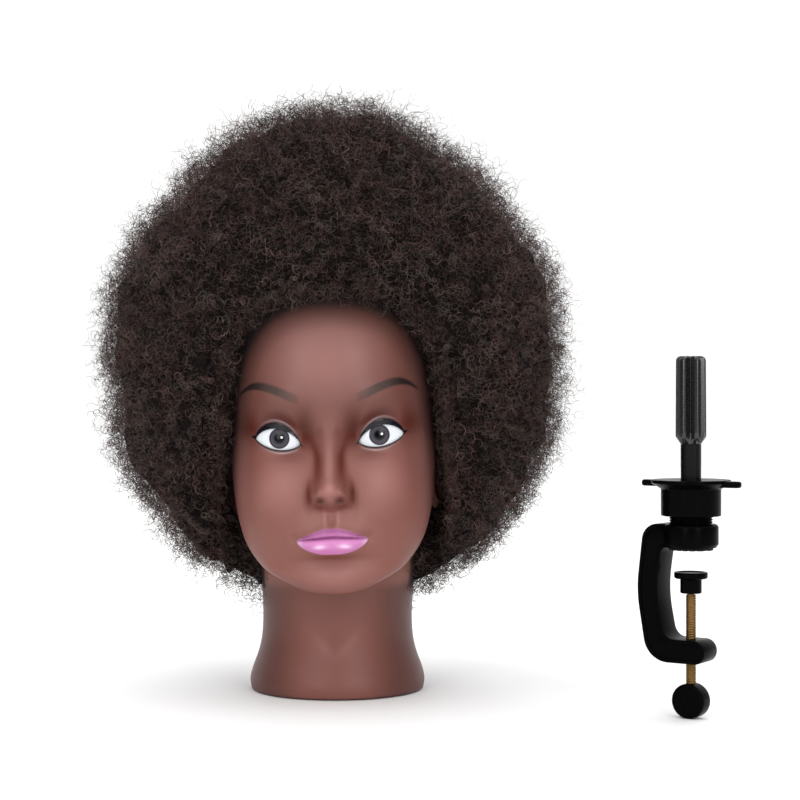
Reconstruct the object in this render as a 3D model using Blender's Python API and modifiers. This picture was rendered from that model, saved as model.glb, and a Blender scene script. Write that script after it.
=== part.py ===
"""Mannequin training head with an afro and its separate table clamp.

Two assemblies share one floor at z = 0. The head stands on the plate in its neck and faces -Y.
The clamp stands beside it on its thumb knob. Lengths are in metres.
"""

import math

import bmesh
import bpy
from mathutils import Vector

# Places of the two assemblies: their common box is centred on the origin.
HEAD_X = -0.0444
HEAD_Y = -0.0179
CLAMP_X = HEAD_X + 0.219
CLAMP_Y = HEAD_Y - 0.108
CLAMP_TURN = math.radians(-34.0)

GAP = 0.0003
FINE = 40
MEDIUM = 28
COARSE = 16

# Head, measured from the floor and from the upright axis of the skull.
HEAD_HEIGHT = 0.288
NECK_Y = 0.012
NECK_RADIUS = 0.0500
NECK_FOOT_RADIUS = 0.0585
SKIN_RIM_Z = 0.0010
SKIN_WALL = 0.0030
FOAM_INSET = 0.0036
HAIR_CLEARANCE = 0.0010
HEAD_COLUMNS = 32
HEAD_ROWS = 27
FACE_CROWDING = 0.5
BLEND = 0.010

# Each row: height, half width, front, widest place and back of the face and skull.
SKULL = [
    (0.0700, 0.0100, -0.0765, -0.0710, -0.0670),
    (0.0745, 0.0205, -0.0830, -0.069, -0.062),
    (0.080, 0.0320, -0.0865, -0.065, -0.055),
    (0.086, 0.0425, -0.0870, -0.058, -0.043),
    (0.093, 0.0500, -0.0855, -0.048, -0.025),
    (0.103, 0.0570, -0.0865, -0.036, 0.002),
    (0.115, 0.0615, -0.0880, -0.026, 0.040),
    (0.130, 0.0650, -0.0865, -0.014, 0.074),
    (0.150, 0.0675, -0.0840, -0.004, 0.093),
    (0.175, 0.0690, -0.0815, 0.004, 0.102),
    (0.200, 0.0700, -0.0860, 0.010, 0.104),
    (0.225, 0.0690, -0.087, 0.013, 0.100),
    (0.250, 0.0620, -0.076, 0.014, 0.086),
    (0.270, 0.0480, -0.055, 0.014, 0.062),
    (0.282, 0.0290, -0.028, 0.015, 0.040),
    (0.288, 0.0100, 0.004, 0.015, 0.024),
]
# Each row: height and radius of the neck, a round column behind the chin.
NECK = [
    (0.000, 0.0575),
    (0.007, NECK_FOOT_RADIUS),
    (0.015, 0.0567),
    (0.023, 0.0537),
    (0.031, 0.0515),
    (0.047, NECK_RADIUS),
    (0.062, 0.0504),
    (0.082, 0.0518),
    (0.100, 0.0522),
    (0.150, 0.0460),
]
NOSE_TIP_Z = 0.1390
NOSE_ROOT_Z = 0.174
NOSE_REACH = 0.023
NOSE_HALF_WIDTH = 0.0105
SOCKET_DEPTH = 0.0080
SOCKET_X = 0.0270
SOCKET_HALF_WIDTH = 0.0155
SOCKET_HALF_HEIGHT = 0.0130
EYE_X = 0.0315
EYE_Z = 0.170
EYE_Y = -0.0680
EYE_SIZE = (0.0155, 0.0085, 0.0088)
EAR_X = 0.0665
EAR_Y = 0.008
EAR_Z = 0.148
EAR_SIZE = (0.0070, 0.0170, 0.0270)

# Insert that closes the neck.
PLATE_RADIUS = 0.0540
PLATE_THICKNESS = 0.0050
SOCKET_RADIUS = 0.00975
SOCKET_DEPTH_Z = 0.0800
SOCKET_WALL = 0.0028
SOCKET_COLLAR_RADIUS = 0.0170

# Hair, a ball round the skull with the face left open.
HAIR_HALF_WIDTH = 0.158
HAIR_FRONT = 0.112
HAIR_BACK = 0.168
HAIR_BOTTOM_Z = 0.060
HAIR_TOP_Z = 0.393
HAIR_CENTRE_Z = 0.227
HAIR_LOW_POWER = 2.4
FACE_HALF_WIDTH = 0.0600
FACE_TOP_Z = 0.2400
FACE_BACK_Y = -0.012
FACE_MIDDLE_Z = 0.160
FACE_FLARE = 3.5

# Clamp, measured from the floor on the axis that the screw and the post share.
FRAME_DEPTH = 0.0190
ARM_BOTTOM_Z = 0.0338
ARM_TOP_Z = 0.0481
JAW_Z = 0.1037
BOSS_TOP_Z = 0.1182
BOSS_RADIUS = 0.0167
SPIGOT_RADIUS = 0.0132
SPIGOT_TOP_Z = 0.1280
POST_BORE_RADIUS = 0.00535
PANEL_DEPTH = 0.0008
PANEL_EDGE = 0.0022

SCREW_RADIUS = 0.0031
SCREW_BOTTOM_Z = 0.0080
SCREW_SHOULDER_Z = 0.0770
SCREW_NECK_RADIUS = 0.0021
BALL_RADIUS = 0.0029
BALL_Z = 0.0818

PAD_BOTTOM_Z = 0.0759
PAD_DISC_Z = 0.0847
PAD_TOP_Z = 0.0888
PAD_RADIUS = 0.01015
PAD_COLLAR_RADIUS = 0.0065

KNOB_RADIUS = 0.0106
KNOB_THICKNESS = 0.0118
KNOB_TURN = math.radians(-1.0)

RING_BOTTOM_Z = 0.1229
RING_RADIUS = 0.01825
FLANGE_Z = 0.1393
FLANGE_TOP_Z = 0.1450
FLANGE_RADIUS = 0.02425
TAB_REACH = 0.0325
TAB_WIDTH = 0.0090
TAB_THICKNESS = 0.0043
TAB_Z = 0.1402

STEM_RADIUS = 0.00625
FOOT_RADIUS = 0.0120
FOOT_Z = 0.1292
FOOT_TOP_Z = 0.1322
WASHER_RADIUS = 0.0122
WASHER_THICKNESS = 0.0006
PLUG_Z = 0.1666
PLUG_CONE_Z = 0.1709
PLUG_TOP_Z = 0.2201
PLUG_RADIUS = 0.0095
PLUG_FLUTES = 8
PLUG_FLUTE_RADIUS = 0.0022
PLUG_CORE_RADIUS = 0.0050

MATERIALS = {
    "skin": ((0.205, 0.083, 0.066), 0.45, 0.0),
    "foam": ((0.75, 0.70, 0.58), 0.9, 0.0),
    "insert": ((0.03, 0.03, 0.032), 0.5, 0.0),
    "eye": ((0.75, 0.78, 0.82), 0.12, 0.0),
    "hair": ((0.026, 0.017, 0.015), 0.8, 0.0),
    "black_plastic": ((0.018, 0.018, 0.019), 0.38, 0.0),
    "rubber": ((0.022, 0.022, 0.022), 0.8, 0.0),
    "screw_metal": ((0.36, 0.25, 0.11), 0.38, 1.0),
    "steel": ((0.55, 0.55, 0.56), 0.32, 1.0),
    "washer": ((0.62, 0.60, 0.55), 0.6, 0.0),
}


def clear_scene():
    for old in list(bpy.data.objects):
        bpy.data.objects.remove(old, do_unlink=True)


def make_collection(name):
    group = bpy.data.collections.new(name)
    bpy.context.scene.collection.children.link(group)
    return group


def make_material(name):
    colour, roughness, metallic = MATERIALS[name]
    material = bpy.data.materials.get(name) or bpy.data.materials.new(name)
    material.use_nodes = True
    surface = material.node_tree.nodes["Principled BSDF"]
    surface.inputs["Base Color"].default_value = (*colour, 1.0)
    surface.inputs["Roughness"].default_value = roughness
    surface.inputs["Metallic"].default_value = metallic
    return material


clear_scene()
PARTS = make_collection("mannequin_training_head")
CUTTERS = make_collection("cutters")


def make_empty(name, place, turn=0.0):
    empty = bpy.data.objects.new(name, None)
    empty.location = place
    empty.rotation_euler = (0.0, 0.0, turn)
    empty.empty_display_size = 0.02
    PARTS.objects.link(empty)
    return empty


def add_part(name, mesh, material, parent, smooth=True):
    part = bpy.data.objects.new(name, mesh)
    mesh.materials.append(make_material(material))
    if smooth:
        mesh.shade_smooth()
        mesh.set_sharp_from_angle(angle=math.radians(35.0))
    part.parent = parent
    PARTS.objects.link(part)
    return part


def add_cutter(name, mesh, parent):
    cutter = bpy.data.objects.new(name, mesh)
    cutter.parent = parent
    cutter.hide_render = True
    cutter.display_type = "WIRE"
    CUTTERS.objects.link(cutter)
    return cutter


def boolean(part, other, operation="DIFFERENCE"):
    step = part.modifiers.new(other.name, "BOOLEAN")
    step.operation = operation
    step.object = other


def turned(profile, segments, closed=False):
    """A mesh of a profile in radius and height, turned about Z by a Screw modifier."""
    outline = bpy.data.meshes.new("profile")
    edges = [(i, i + 1) for i in range(len(profile) - 1)]
    if closed:
        edges.append((len(profile) - 1, 0))
    outline.from_pydata([(radius, 0.0, z) for radius, z in profile], edges, [])
    holder = bpy.data.objects.new("profile", outline)
    bpy.context.scene.collection.objects.link(holder)
    screw = holder.modifiers.new("turn", "SCREW")
    screw.steps = segments
    screw.render_steps = segments
    screw.use_merge_vertices = True
    screw.merge_threshold = 0.00001
    return baked(holder)


def baked(holder):
    """The evaluated mesh of a helper object, which is then removed."""
    bpy.context.view_layer.update()
    shape = holder.evaluated_get(bpy.context.evaluated_depsgraph_get())
    mesh = bpy.data.meshes.new_from_object(shape)
    bpy.data.objects.remove(holder, do_unlink=True)
    return mesh


def plate(outline, low, high):
    """A flat outline in X and Y, filled and raised from low to high."""
    curve = bpy.data.curves.new("outline", "CURVE")
    curve.dimensions = "2D"
    curve.fill_mode = "BOTH"
    curve.extrude = 0.5 * (high - low)
    spline = curve.splines.new("POLY")
    spline.points.add(len(outline) - 1)
    for point, (x, y) in zip(spline.points, outline):
        point.co = (x, y, 0.0, 1.0)
    spline.use_cyclic_u = True
    holder = bpy.data.objects.new("outline", curve)
    bpy.context.scene.collection.objects.link(holder)
    mesh = baked(holder)
    work = bmesh.new()
    work.from_mesh(mesh)
    bmesh.ops.remove_doubles(work, verts=work.verts, dist=0.00001)
    bmesh.ops.translate(work, verts=work.verts, vec=(0.0, 0.0, 0.5 * (low + high)))
    bmesh.ops.recalc_face_normals(work, faces=work.faces)
    work.to_mesh(mesh)
    work.free()
    return mesh


def box(low, high):
    work = bmesh.new()
    bmesh.ops.create_cube(work, size=1.0)
    size = [b - a for a, b in zip(low, high)]
    middle = [0.5 * (a + b) for a, b in zip(low, high)]
    bmesh.ops.scale(work, verts=work.verts, vec=size)
    bmesh.ops.translate(work, verts=work.verts, vec=middle)
    mesh = bpy.data.meshes.new("box")
    work.to_mesh(mesh)
    work.free()
    return mesh


def ellipsoid(centre, size, columns, rows):
    work = bmesh.new()
    bmesh.ops.create_uvsphere(work, u_segments=columns, v_segments=rows, radius=1.0)
    bmesh.ops.scale(work, verts=work.verts, vec=size)
    bmesh.ops.translate(work, verts=work.verts, vec=centre)
    mesh = bpy.data.meshes.new("ellipsoid")
    work.to_mesh(mesh)
    work.free()
    return mesh


def rod(radius, low, high, segments):
    return turned([(0.0, high), (radius, high), (radius, low), (0.0, low)], segments)


def ring(inner, outer, low, high, segments):
    corners = [(inner, high), (outer, high), (outer, low), (inner, low)]
    return turned(corners, segments, closed=True)


def rounded(corners, step=math.radians(15.0)):
    """An outline through corners (x, y, radius), each one rounded by an arc."""
    points = []
    count = len(corners)
    for i, (x, y, radius) in enumerate(corners):
        here = Vector((x, y))
        before = (Vector(corners[i - 1][:2]) - here).normalized()
        after = (Vector(corners[(i + 1) % count][:2]) - here).normalized()
        if radius == 0.0:
            points.append((x, y))
            continue
        half = 0.5 * before.angle(after)
        centre = here + (before + after).normalized() * (radius / math.sin(half))
        start = here + before * (radius / math.tan(half)) - centre
        sweep = start.angle_signed(here + after * (radius / math.tan(half)) - centre)
        pieces = max(1, math.ceil(abs(sweep) / step))
        first = math.atan2(start.y, start.x)
        for k in range(pieces + 1):
            angle = first - sweep * k / pieces
            points.append((centre.x + radius * math.cos(angle), centre.y + radius * math.sin(angle)))
    return points


def interpolate(rows, z, column):
    """Smooth value of a column of rows whose first entry is the height."""
    last = len(rows) - 1
    z = min(max(z, rows[0][0]), rows[last][0])
    i = 0
    while i < last - 1 and z > rows[i + 1][0]:
        i += 1
    z0, z1 = rows[i][0], rows[i + 1][0]
    v0, v1 = rows[i][column], rows[i + 1][column]
    slope = (v1 - v0) / (z1 - z0)
    slope0, slope1 = slope, slope
    if i > 0:
        slope0 = (v1 - rows[i - 1][column]) / (z1 - rows[i - 1][0])
    if i < last - 1:
        slope1 = (rows[i + 2][column] - v0) / (rows[i + 2][0] - z0)
    t = (z - z0) / (z1 - z0)
    span = z1 - z0
    return (
        v0 * (2.0 * t**3 - 3.0 * t**2 + 1.0)
        + v1 * (3.0 * t**2 - 2.0 * t**3)
        + slope0 * span * (t**3 - 2.0 * t**2 + t)
        + slope1 * span * (t**3 - t**2)
    )


def skull_depth(x, y, z):
    """How far a point is outside the face and skull, negative inside."""
    low, high = SKULL[0][0], SKULL[-1][0]
    half = interpolate(SKULL, z, 1)
    front = interpolate(SKULL, z, 2)
    widest = interpolate(SKULL, z, 3)
    back = interpolate(SKULL, z, 4)
    reach = widest - front if y < widest else back - widest
    power = 2.3
    norm = (abs(x / half) ** power + abs((y - widest) / reach) ** power) ** (1.0 / power)
    depth = (norm - 1.0) * min(half, reach)
    return max(depth, low - z, z - high)


def neck_depth(x, y, z):
    radius = interpolate(NECK, z, 1)
    depth = math.hypot(x, y - NECK_Y) - radius
    return max(depth, z - NECK[-1][0])


def outside(x, y, z):
    """Distance-like value of the head: the smooth union of skull and neck."""
    a = skull_depth(x, y, z)
    b = neck_depth(x, y, z)
    mix = min(max(0.5 + 0.5 * (b - a) / BLEND, 0.0), 1.0)
    return b + (a - b) * mix - BLEND * mix * (1.0 - mix)


def row_place(row):
    """Height on the axis and slope of one section plane; planes at the jaw dip to the front."""
    share = row / HEAD_ROWS
    share = 0.65 * share + 0.35 * math.sin(0.5 * math.pi * share)
    height = SKIN_RIM_Z + (HEAD_HEIGHT - SKIN_RIM_Z) * share
    dip = math.sin(math.pi * min(height / 0.215, 1.0)) ** 2
    return height, 0.62 * dip


def feature(x, y, z):
    """Forward offset of the nose and the eye sockets on the front of the face."""
    if y > -0.03:
        return 0.0
    share = (z - NOSE_TIP_Z) / (NOSE_ROOT_Z - NOSE_TIP_Z)
    if share < 0.0:
        rise = math.exp(-((z - NOSE_TIP_Z) / 0.008) ** 2)
    else:
        rise = max(0.0, 1.0 - share) ** 1.2
    offset = NOSE_REACH * rise * math.exp(-((x / NOSE_HALF_WIDTH) ** 2))
    across = (abs(x) - SOCKET_X) / SOCKET_HALF_WIDTH
    along = (z - EYE_Z) / SOCKET_HALF_HEIGHT
    return offset - SOCKET_DEPTH * math.exp(-(across**2) - along**2)


def head_point(row, column):
    height, slope = row_place(row)
    angle = 2.0 * math.pi * column / HEAD_COLUMNS
    angle -= FACE_CROWDING * math.sin(angle)
    east, north = math.sin(angle), -math.cos(angle)
    centre_y = 0.010
    low, high = 0.0, 0.2
    for _ in range(40):
        reach = 0.5 * (low + high)
        y = centre_y + reach * north
        if outside(reach * east, y, height + slope * (y - centre_y)) < 0.0:
            low = reach
        else:
            high = reach
    x, y = low * east, centre_y + low * north
    z = height + slope * (y - centre_y)
    return (x, y - feature(x, y, z), max(z, SKIN_RIM_Z))


def head_mesh():
    """The outside of the head as a loft of sections, closed at the crown and under the neck."""
    work = bmesh.new()
    rows = []
    for row in range(HEAD_ROWS):
        rows.append([work.verts.new(head_point(row, c)) for c in range(HEAD_COLUMNS)])
    crown = work.verts.new((0.0, 0.014, HEAD_HEIGHT))
    for lower, upper in zip(rows, rows[1:]):
        for c in range(HEAD_COLUMNS):
            n = (c + 1) % HEAD_COLUMNS
            work.faces.new((lower[c], lower[n], upper[n], upper[c]))
    for c in range(HEAD_COLUMNS):
        work.faces.new((rows[-1][c], rows[-1][(c + 1) % HEAD_COLUMNS], crown))
    work.faces.new(list(reversed(rows[0])))
    bmesh.ops.triangulate(work, faces=work.faces, quad_method="FIXED")
    mesh = bpy.data.meshes.new("head")
    work.to_mesh(mesh)
    work.free()
    return mesh


def displaced(mesh, distance):
    holder = bpy.data.objects.new("displaced", mesh)
    bpy.context.scene.collection.objects.link(holder)
    step = holder.modifiers.new("offset", "DISPLACE")
    step.mid_level = 0.0
    step.strength = distance
    return baked(holder)


def eye_cutters(head):
    cutters = []
    for side in (-1.0, 1.0):
        size = [s + GAP + 0.0001 for s in EYE_SIZE]
        mesh = ellipsoid((side * EYE_X, EYE_Y, EYE_Z), size, 16, 10)
        cutters.append(add_cutter("eye_pocket", mesh, head))
    return cutters


def make_head_shell(head, cutters):
    shell = add_part("head_shell", head_mesh(), "skin", head)
    for side in (-1.0, 1.0):
        centre = (side * EAR_X, EAR_Y, EAR_Z)
        boolean(shell, add_cutter("ear", ellipsoid(centre, EAR_SIZE, 16, 10), head), "UNION")
    boolean(shell, add_cutter("skin_hollow", displaced(head_mesh(), -SKIN_WALL), head))
    mouth = add_cutter("neck_mouth", rod(PLATE_RADIUS + 0.0005, -0.01, 0.007, FINE), head)
    mouth.location.y = NECK_Y
    boolean(shell, mouth)
    for cutter in cutters:
        boolean(shell, cutter)


def make_foam_core(head, cutters):
    core = add_part("foam_core", displaced(head_mesh(), -FOAM_INSET), "foam", head)
    base = box((-0.1, -0.1, -0.02), (0.1, 0.12, PLATE_THICKNESS + GAP))
    boolean(core, add_cutter("core_foot", base, head))
    bore = turned(
        [
            (0.0, SOCKET_DEPTH_Z + SOCKET_WALL + GAP),
            (SOCKET_RADIUS + SOCKET_WALL + GAP, SOCKET_DEPTH_Z + SOCKET_WALL + GAP),
            (SOCKET_RADIUS + SOCKET_WALL + GAP, 0.0076),
            (SOCKET_COLLAR_RADIUS + GAP, 0.0076),
            (SOCKET_COLLAR_RADIUS + GAP, -0.001),
            (0.0, -0.001),
        ],
        MEDIUM,
    )
    cutter = add_cutter("core_bore", bore, head)
    cutter.location.y = NECK_Y
    boolean(core, cutter)
    for pocket in cutters:
        boolean(core, pocket)
    for side in (-1.0, 1.0):
        size = [s + 0.0006 for s in EAR_SIZE]
        ear = ellipsoid((side * EAR_X, EAR_Y, EAR_Z), size, 16, 10)
        boolean(core, add_cutter("ear_room", ear, head))


def make_neck_insert(head):
    hole = SOCKET_RADIUS + SOCKET_WALL + GAP
    disc = add_part("neck_base_plate", ring(hole, PLATE_RADIUS, 0.0, PLATE_THICKNESS, FINE), "insert", head)
    disc.location.y = NECK_Y
    wall = SOCKET_RADIUS + SOCKET_WALL
    collar = PLATE_THICKNESS + GAP
    profile = [
        (0.0, SOCKET_DEPTH_Z + SOCKET_WALL),
        (wall, SOCKET_DEPTH_Z + SOCKET_WALL),
        (wall, collar + 0.002),
        (SOCKET_COLLAR_RADIUS, collar + 0.002),
        (SOCKET_COLLAR_RADIUS, collar),
        (wall, collar),
        (wall, 0.0),
        (SOCKET_RADIUS, 0.0),
        (SOCKET_RADIUS, SOCKET_DEPTH_Z),
        (0.0, SOCKET_DEPTH_Z),
    ]
    tube = add_part("socket_tube", turned(profile, MEDIUM), "insert", head)
    tube.location.y = NECK_Y


def make_eyes(head):
    for name, side in (("right_eye", -1.0), ("left_eye", 1.0)):
        eye = add_part(name, ellipsoid((0.0, 0.0, 0.0), EYE_SIZE, 16, 10), "eye", head)
        eye.location = (side * EYE_X, EYE_Y, EYE_Z)


def hair_ball():
    """The outside of the afro: an egg with its own reach to the front, back, top and bottom."""
    work = bmesh.new()
    bmesh.ops.create_uvsphere(work, u_segments=32, v_segments=18, radius=1.0)
    for vert in work.verts:
        if vert.co.z < 0.0:
            across = math.hypot(vert.co.x, vert.co.y)
            vert.co /= (across**HAIR_LOW_POWER + abs(vert.co.z) ** HAIR_LOW_POWER) ** (1.0 / HAIR_LOW_POWER)
        x, y, z = vert.co
        depth = HAIR_FRONT if y < 0.0 else HAIR_BACK
        height = HAIR_TOP_Z - HAIR_CENTRE_Z if z > 0.0 else HAIR_CENTRE_Z - HAIR_BOTTOM_Z
        vert.co = (x * HAIR_HALF_WIDTH, y * depth, HAIR_CENTRE_Z + z * height)
    mesh = bpy.data.meshes.new("hair")
    work.to_mesh(mesh)
    work.free()
    return mesh


def face_opening(head):
    """Cutter for the face: an arch that runs out of the hair to the front and down."""
    corners = [
        (-FACE_HALF_WIDTH, 0.02, 0.0),
        (FACE_HALF_WIDTH, 0.02, 0.0),
        (FACE_HALF_WIDTH, FACE_TOP_Z, 0.050),
        (-FACE_HALF_WIDTH, FACE_TOP_Z, 0.050),
    ]
    cutter = add_cutter("face_opening", plate(rounded(corners), -0.2, FACE_BACK_Y), head)
    for vert in cutter.data.vertices:
        x, z, y = vert.co
        flare = 1.0 + FACE_FLARE * (FACE_BACK_Y - y)
        vert.co = (x * flare, y, FACE_MIDDLE_Z + (z - FACE_MIDDLE_Z) * flare)
    cutter.data.flip_normals()
    return cutter


def make_hair(head):
    hair = add_part("afro_hair", hair_ball(), "hair", head)
    boolean(hair, add_cutter("head_room", displaced(head_mesh(), HAIR_CLEARANCE), head))
    boolean(hair, face_opening(head))
    for side in (-1.0, 1.0):
        size = [s + 0.0010 for s in EAR_SIZE]
        ear = ellipsoid((side * EAR_X, EAR_Y, EAR_Z), size, 16, 10)
        boolean(hair, add_cutter("hair_ear_room", ear, head))


def upright(mesh):
    """Stand a flat outline up: its Y becomes the height and its thickness lies along Y."""
    for vert in mesh.vertices:
        vert.co = (vert.co.x, vert.co.z, vert.co.y)
    mesh.flip_normals()
    return mesh


def frame_outline(edge=0.0):
    """The C in side view, drawn in by edge."""
    corners = [
        (0.0, BOSS_TOP_Z - edge, 0.0),
        (-0.0275 + edge, BOSS_TOP_Z - edge, 0.0105 - edge),
        (-0.0322 + edge, 0.0770, 0.080),
        (-0.0250 + edge, ARM_BOTTOM_Z + edge, 0.0160 - edge),
        (0.0130 - edge, ARM_BOTTOM_Z + edge, 0.0070 - edge),
        (0.0130 - edge, ARM_TOP_Z - edge, 0.0070 - edge),
        (-0.0135 - edge, ARM_TOP_Z - edge, 0.0080 + edge),
        (-0.0192 - edge, 0.0770, 0.080),
        (-0.0155 - edge, JAW_Z + edge, 0.0050),
        (0.0, JAW_Z + edge, 0.0),
    ]
    return rounded(corners)


def make_clamp_frame(clamp):
    half = 0.5 * FRAME_DEPTH
    frame = add_part("clamp_frame", upright(plate(frame_outline(), -half, half)), "black_plastic", clamp)
    frame.modifiers.new("tidy", "WELD").merge_threshold = 0.00001
    for side in (-1.0, 1.0):
        low = side * (half - 0.5 * PANEL_DEPTH) - PANEL_DEPTH
        panel = upright(plate(frame_outline(PANEL_EDGE), low, low + 2.0 * PANEL_DEPTH))
        for vert in panel.vertices:
            vert.co.y += 0.5 * side * PANEL_DEPTH
        boolean(frame, add_cutter("side_panel", panel, clamp))
    boss = turned(
        [
            (0.0, SPIGOT_TOP_Z),
            (SPIGOT_RADIUS, SPIGOT_TOP_Z),
            (SPIGOT_RADIUS, BOSS_TOP_Z),
            (BOSS_RADIUS - 0.002, BOSS_TOP_Z),
            (BOSS_RADIUS, BOSS_TOP_Z - 0.002),
            (BOSS_RADIUS, JAW_Z + 0.002),
            (BOSS_RADIUS - 0.002, JAW_Z),
            (0.0, JAW_Z),
        ],
        MEDIUM,
    )
    boolean(frame, add_cutter("jaw_boss", boss, clamp), "UNION")
    bore = turned(
        [
            (0.0, SPIGOT_TOP_Z + 0.002),
            (POST_BORE_RADIUS, SPIGOT_TOP_Z + 0.002),
            (POST_BORE_RADIUS, 0.1108),
            (0.0023, 0.1108),
            (0.0023, 0.1088),
            (0.0055, 0.1088),
            (0.0055, JAW_Z + 0.0012),
            (0.0142, JAW_Z + 0.0012),
            (0.0142, JAW_Z - 0.002),
            (0.0, JAW_Z - 0.002),
        ],
        COARSE,
    )
    boolean(frame, add_cutter("post_bore", bore, clamp))
    hole = rod(SCREW_RADIUS + 0.0004, ARM_BOTTOM_Z - 0.004, ARM_TOP_Z + 0.004, COARSE)
    boolean(frame, add_cutter("screw_hole", hole, clamp))
    pocket = rod(0.0061, ARM_BOTTOM_Z - 0.004, 0.0386, 6)
    boolean(frame, add_cutter("nut_pocket", pocket, clamp))


def make_nut(clamp):
    nut = add_part("screw_nut", rod(0.00575, 0.0334, 0.0383, 6), "steel", clamp, smooth=False)
    hole = rod(SCREW_RADIUS + 0.0003, 0.030, 0.042, COARSE)
    boolean(nut, add_cutter("nut_hole", hole, clamp))


def make_jaw_pad(clamp):
    pad = add_part("jaw_pad", ring(0.0060, 0.0135, 0.1023, JAW_Z + 0.0009, MEDIUM), "rubber", clamp)
    for k in range(-3, 4):
        x = 0.004 * k
        groove = box((x - 0.0007, -0.02, 0.1000), (x + 0.0007, 0.02, 0.1031))
        boolean(pad, add_cutter("tooth_gap", groove, clamp))


def make_screw(turning):
    profile = [(0.0, BALL_Z + BALL_RADIUS)]
    for k in range(1, 8):
        angle = math.radians(90.0 - 20.0 * k)
        radius = BALL_RADIUS * math.cos(angle)
        z = BALL_Z + BALL_RADIUS * math.sin(angle)
        if angle > 0.0 or radius > SCREW_NECK_RADIUS:
            profile.append((radius, z))
    profile += [
        (SCREW_NECK_RADIUS, BALL_Z - 0.0022),
        (SCREW_NECK_RADIUS, SCREW_SHOULDER_Z - 0.0020),
        (SCREW_RADIUS - 0.0006, SCREW_SHOULDER_Z - 0.0020),
        (SCREW_RADIUS, SCREW_SHOULDER_Z - 0.0026),
        (SCREW_RADIUS, SCREW_BOTTOM_Z),
        (0.0, SCREW_BOTTOM_Z),
    ]
    add_part("clamp_screw", turned(profile, COARSE), "screw_metal", turning)


def make_knob(turning):
    half = 0.5 * KNOB_THICKNESS
    edge = 0.0012
    profile = [
        (0.0, half),
        (KNOB_RADIUS - edge, half),
        (KNOB_RADIUS, half - edge),
        (KNOB_RADIUS, edge - half),
        (KNOB_RADIUS - edge, -half),
        (0.0, -half),
    ]
    knob = add_part("thumb_knob", turned(profile, 24), "black_plastic", turning)
    knob.location.z = KNOB_RADIUS
    knob.rotation_euler = (math.radians(90.0), 0.0, KNOB_TURN)
    hole = rod(SCREW_RADIUS + GAP, SCREW_BOTTOM_Z - GAP, 0.030, COARSE)
    boolean(knob, add_cutter("knob_hole", hole, turning))


def make_pressure_pad(clamp):
    profile = [
        (0.0, PAD_TOP_Z - 0.0006),
        (0.0075, PAD_TOP_Z - 0.0006),
        (0.0078, PAD_TOP_Z),
        (PAD_RADIUS - 0.0008, PAD_TOP_Z),
        (PAD_RADIUS, PAD_TOP_Z - 0.0008),
        (PAD_RADIUS, PAD_DISC_Z + 0.0008),
        (PAD_COLLAR_RADIUS, PAD_DISC_Z),
        (PAD_COLLAR_RADIUS, PAD_BOTTOM_Z),
        (SCREW_NECK_RADIUS + 0.0004, PAD_BOTTOM_Z),
        (SCREW_NECK_RADIUS + 0.0004, PAD_BOTTOM_Z + 0.0025),
        (BALL_RADIUS + GAP, PAD_BOTTOM_Z + 0.0028),
        (BALL_RADIUS + GAP, BALL_Z + BALL_RADIUS + GAP),
        (0.0, BALL_Z + BALL_RADIUS + GAP),
    ]
    add_part("pressure_pad", turned(profile, MEDIUM), "black_plastic", clamp)


def make_lock_ring(turning):
    wall = SPIGOT_RADIUS + 0.0005
    shelf = FOOT_TOP_Z + WASHER_THICKNESS + 2.0 * GAP
    profile = [
        (STEM_RADIUS + 0.0004, FLANGE_TOP_Z - 0.0004),
        (0.0100, FLANGE_TOP_Z),
        (FLANGE_RADIUS - 0.0006, FLANGE_TOP_Z),
        (FLANGE_RADIUS, FLANGE_TOP_Z - 0.0006),
        (FLANGE_RADIUS, FLANGE_TOP_Z - 0.0020),
        (RING_RADIUS, FLANGE_Z),
        (RING_RADIUS, RING_BOTTOM_Z + 0.0004),
        (RING_RADIUS - 0.0004, RING_BOTTOM_Z),
        (wall, RING_BOTTOM_Z),
        (wall, shelf),
        (STEM_RADIUS + 0.0004, shelf),
    ]
    body = add_part("lock_ring", turned(profile, FINE, closed=True), "black_plastic", turning)
    end = 0.5 * TAB_WIDTH
    for side in (-1.0, 1.0):
        corners = [
            (side * 0.0200, -end, 0.0),
            (side * TAB_REACH, -end, end - 0.0002),
            (side * TAB_REACH, end, end - 0.0002),
            (side * 0.0200, end, 0.0),
        ]
        tab = plate(rounded(corners, math.radians(22.5)), TAB_Z, TAB_Z + TAB_THICKNESS)
        boolean(body, add_cutter("ring_tab", tab, turning), "UNION")


def make_washers(clamp, lifting):
    inner = STEM_RADIUS + 0.0004
    low = FOOT_TOP_Z + GAP
    washer = ring(inner, WASHER_RADIUS, low, low + WASHER_THICKNESS, MEDIUM)
    add_part("upper_friction_washer", washer, "washer", lifting)
    low = SPIGOT_TOP_Z + GAP
    washer = ring(POST_BORE_RADIUS, WASHER_RADIUS, low, low + WASHER_THICKNESS, MEDIUM)
    add_part("lower_friction_washer", washer, "washer", clamp)
    add_part("retaining_washer", ring(0.0023, 0.0050, 0.1077, 0.1085, COARSE), "steel", clamp)


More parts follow.
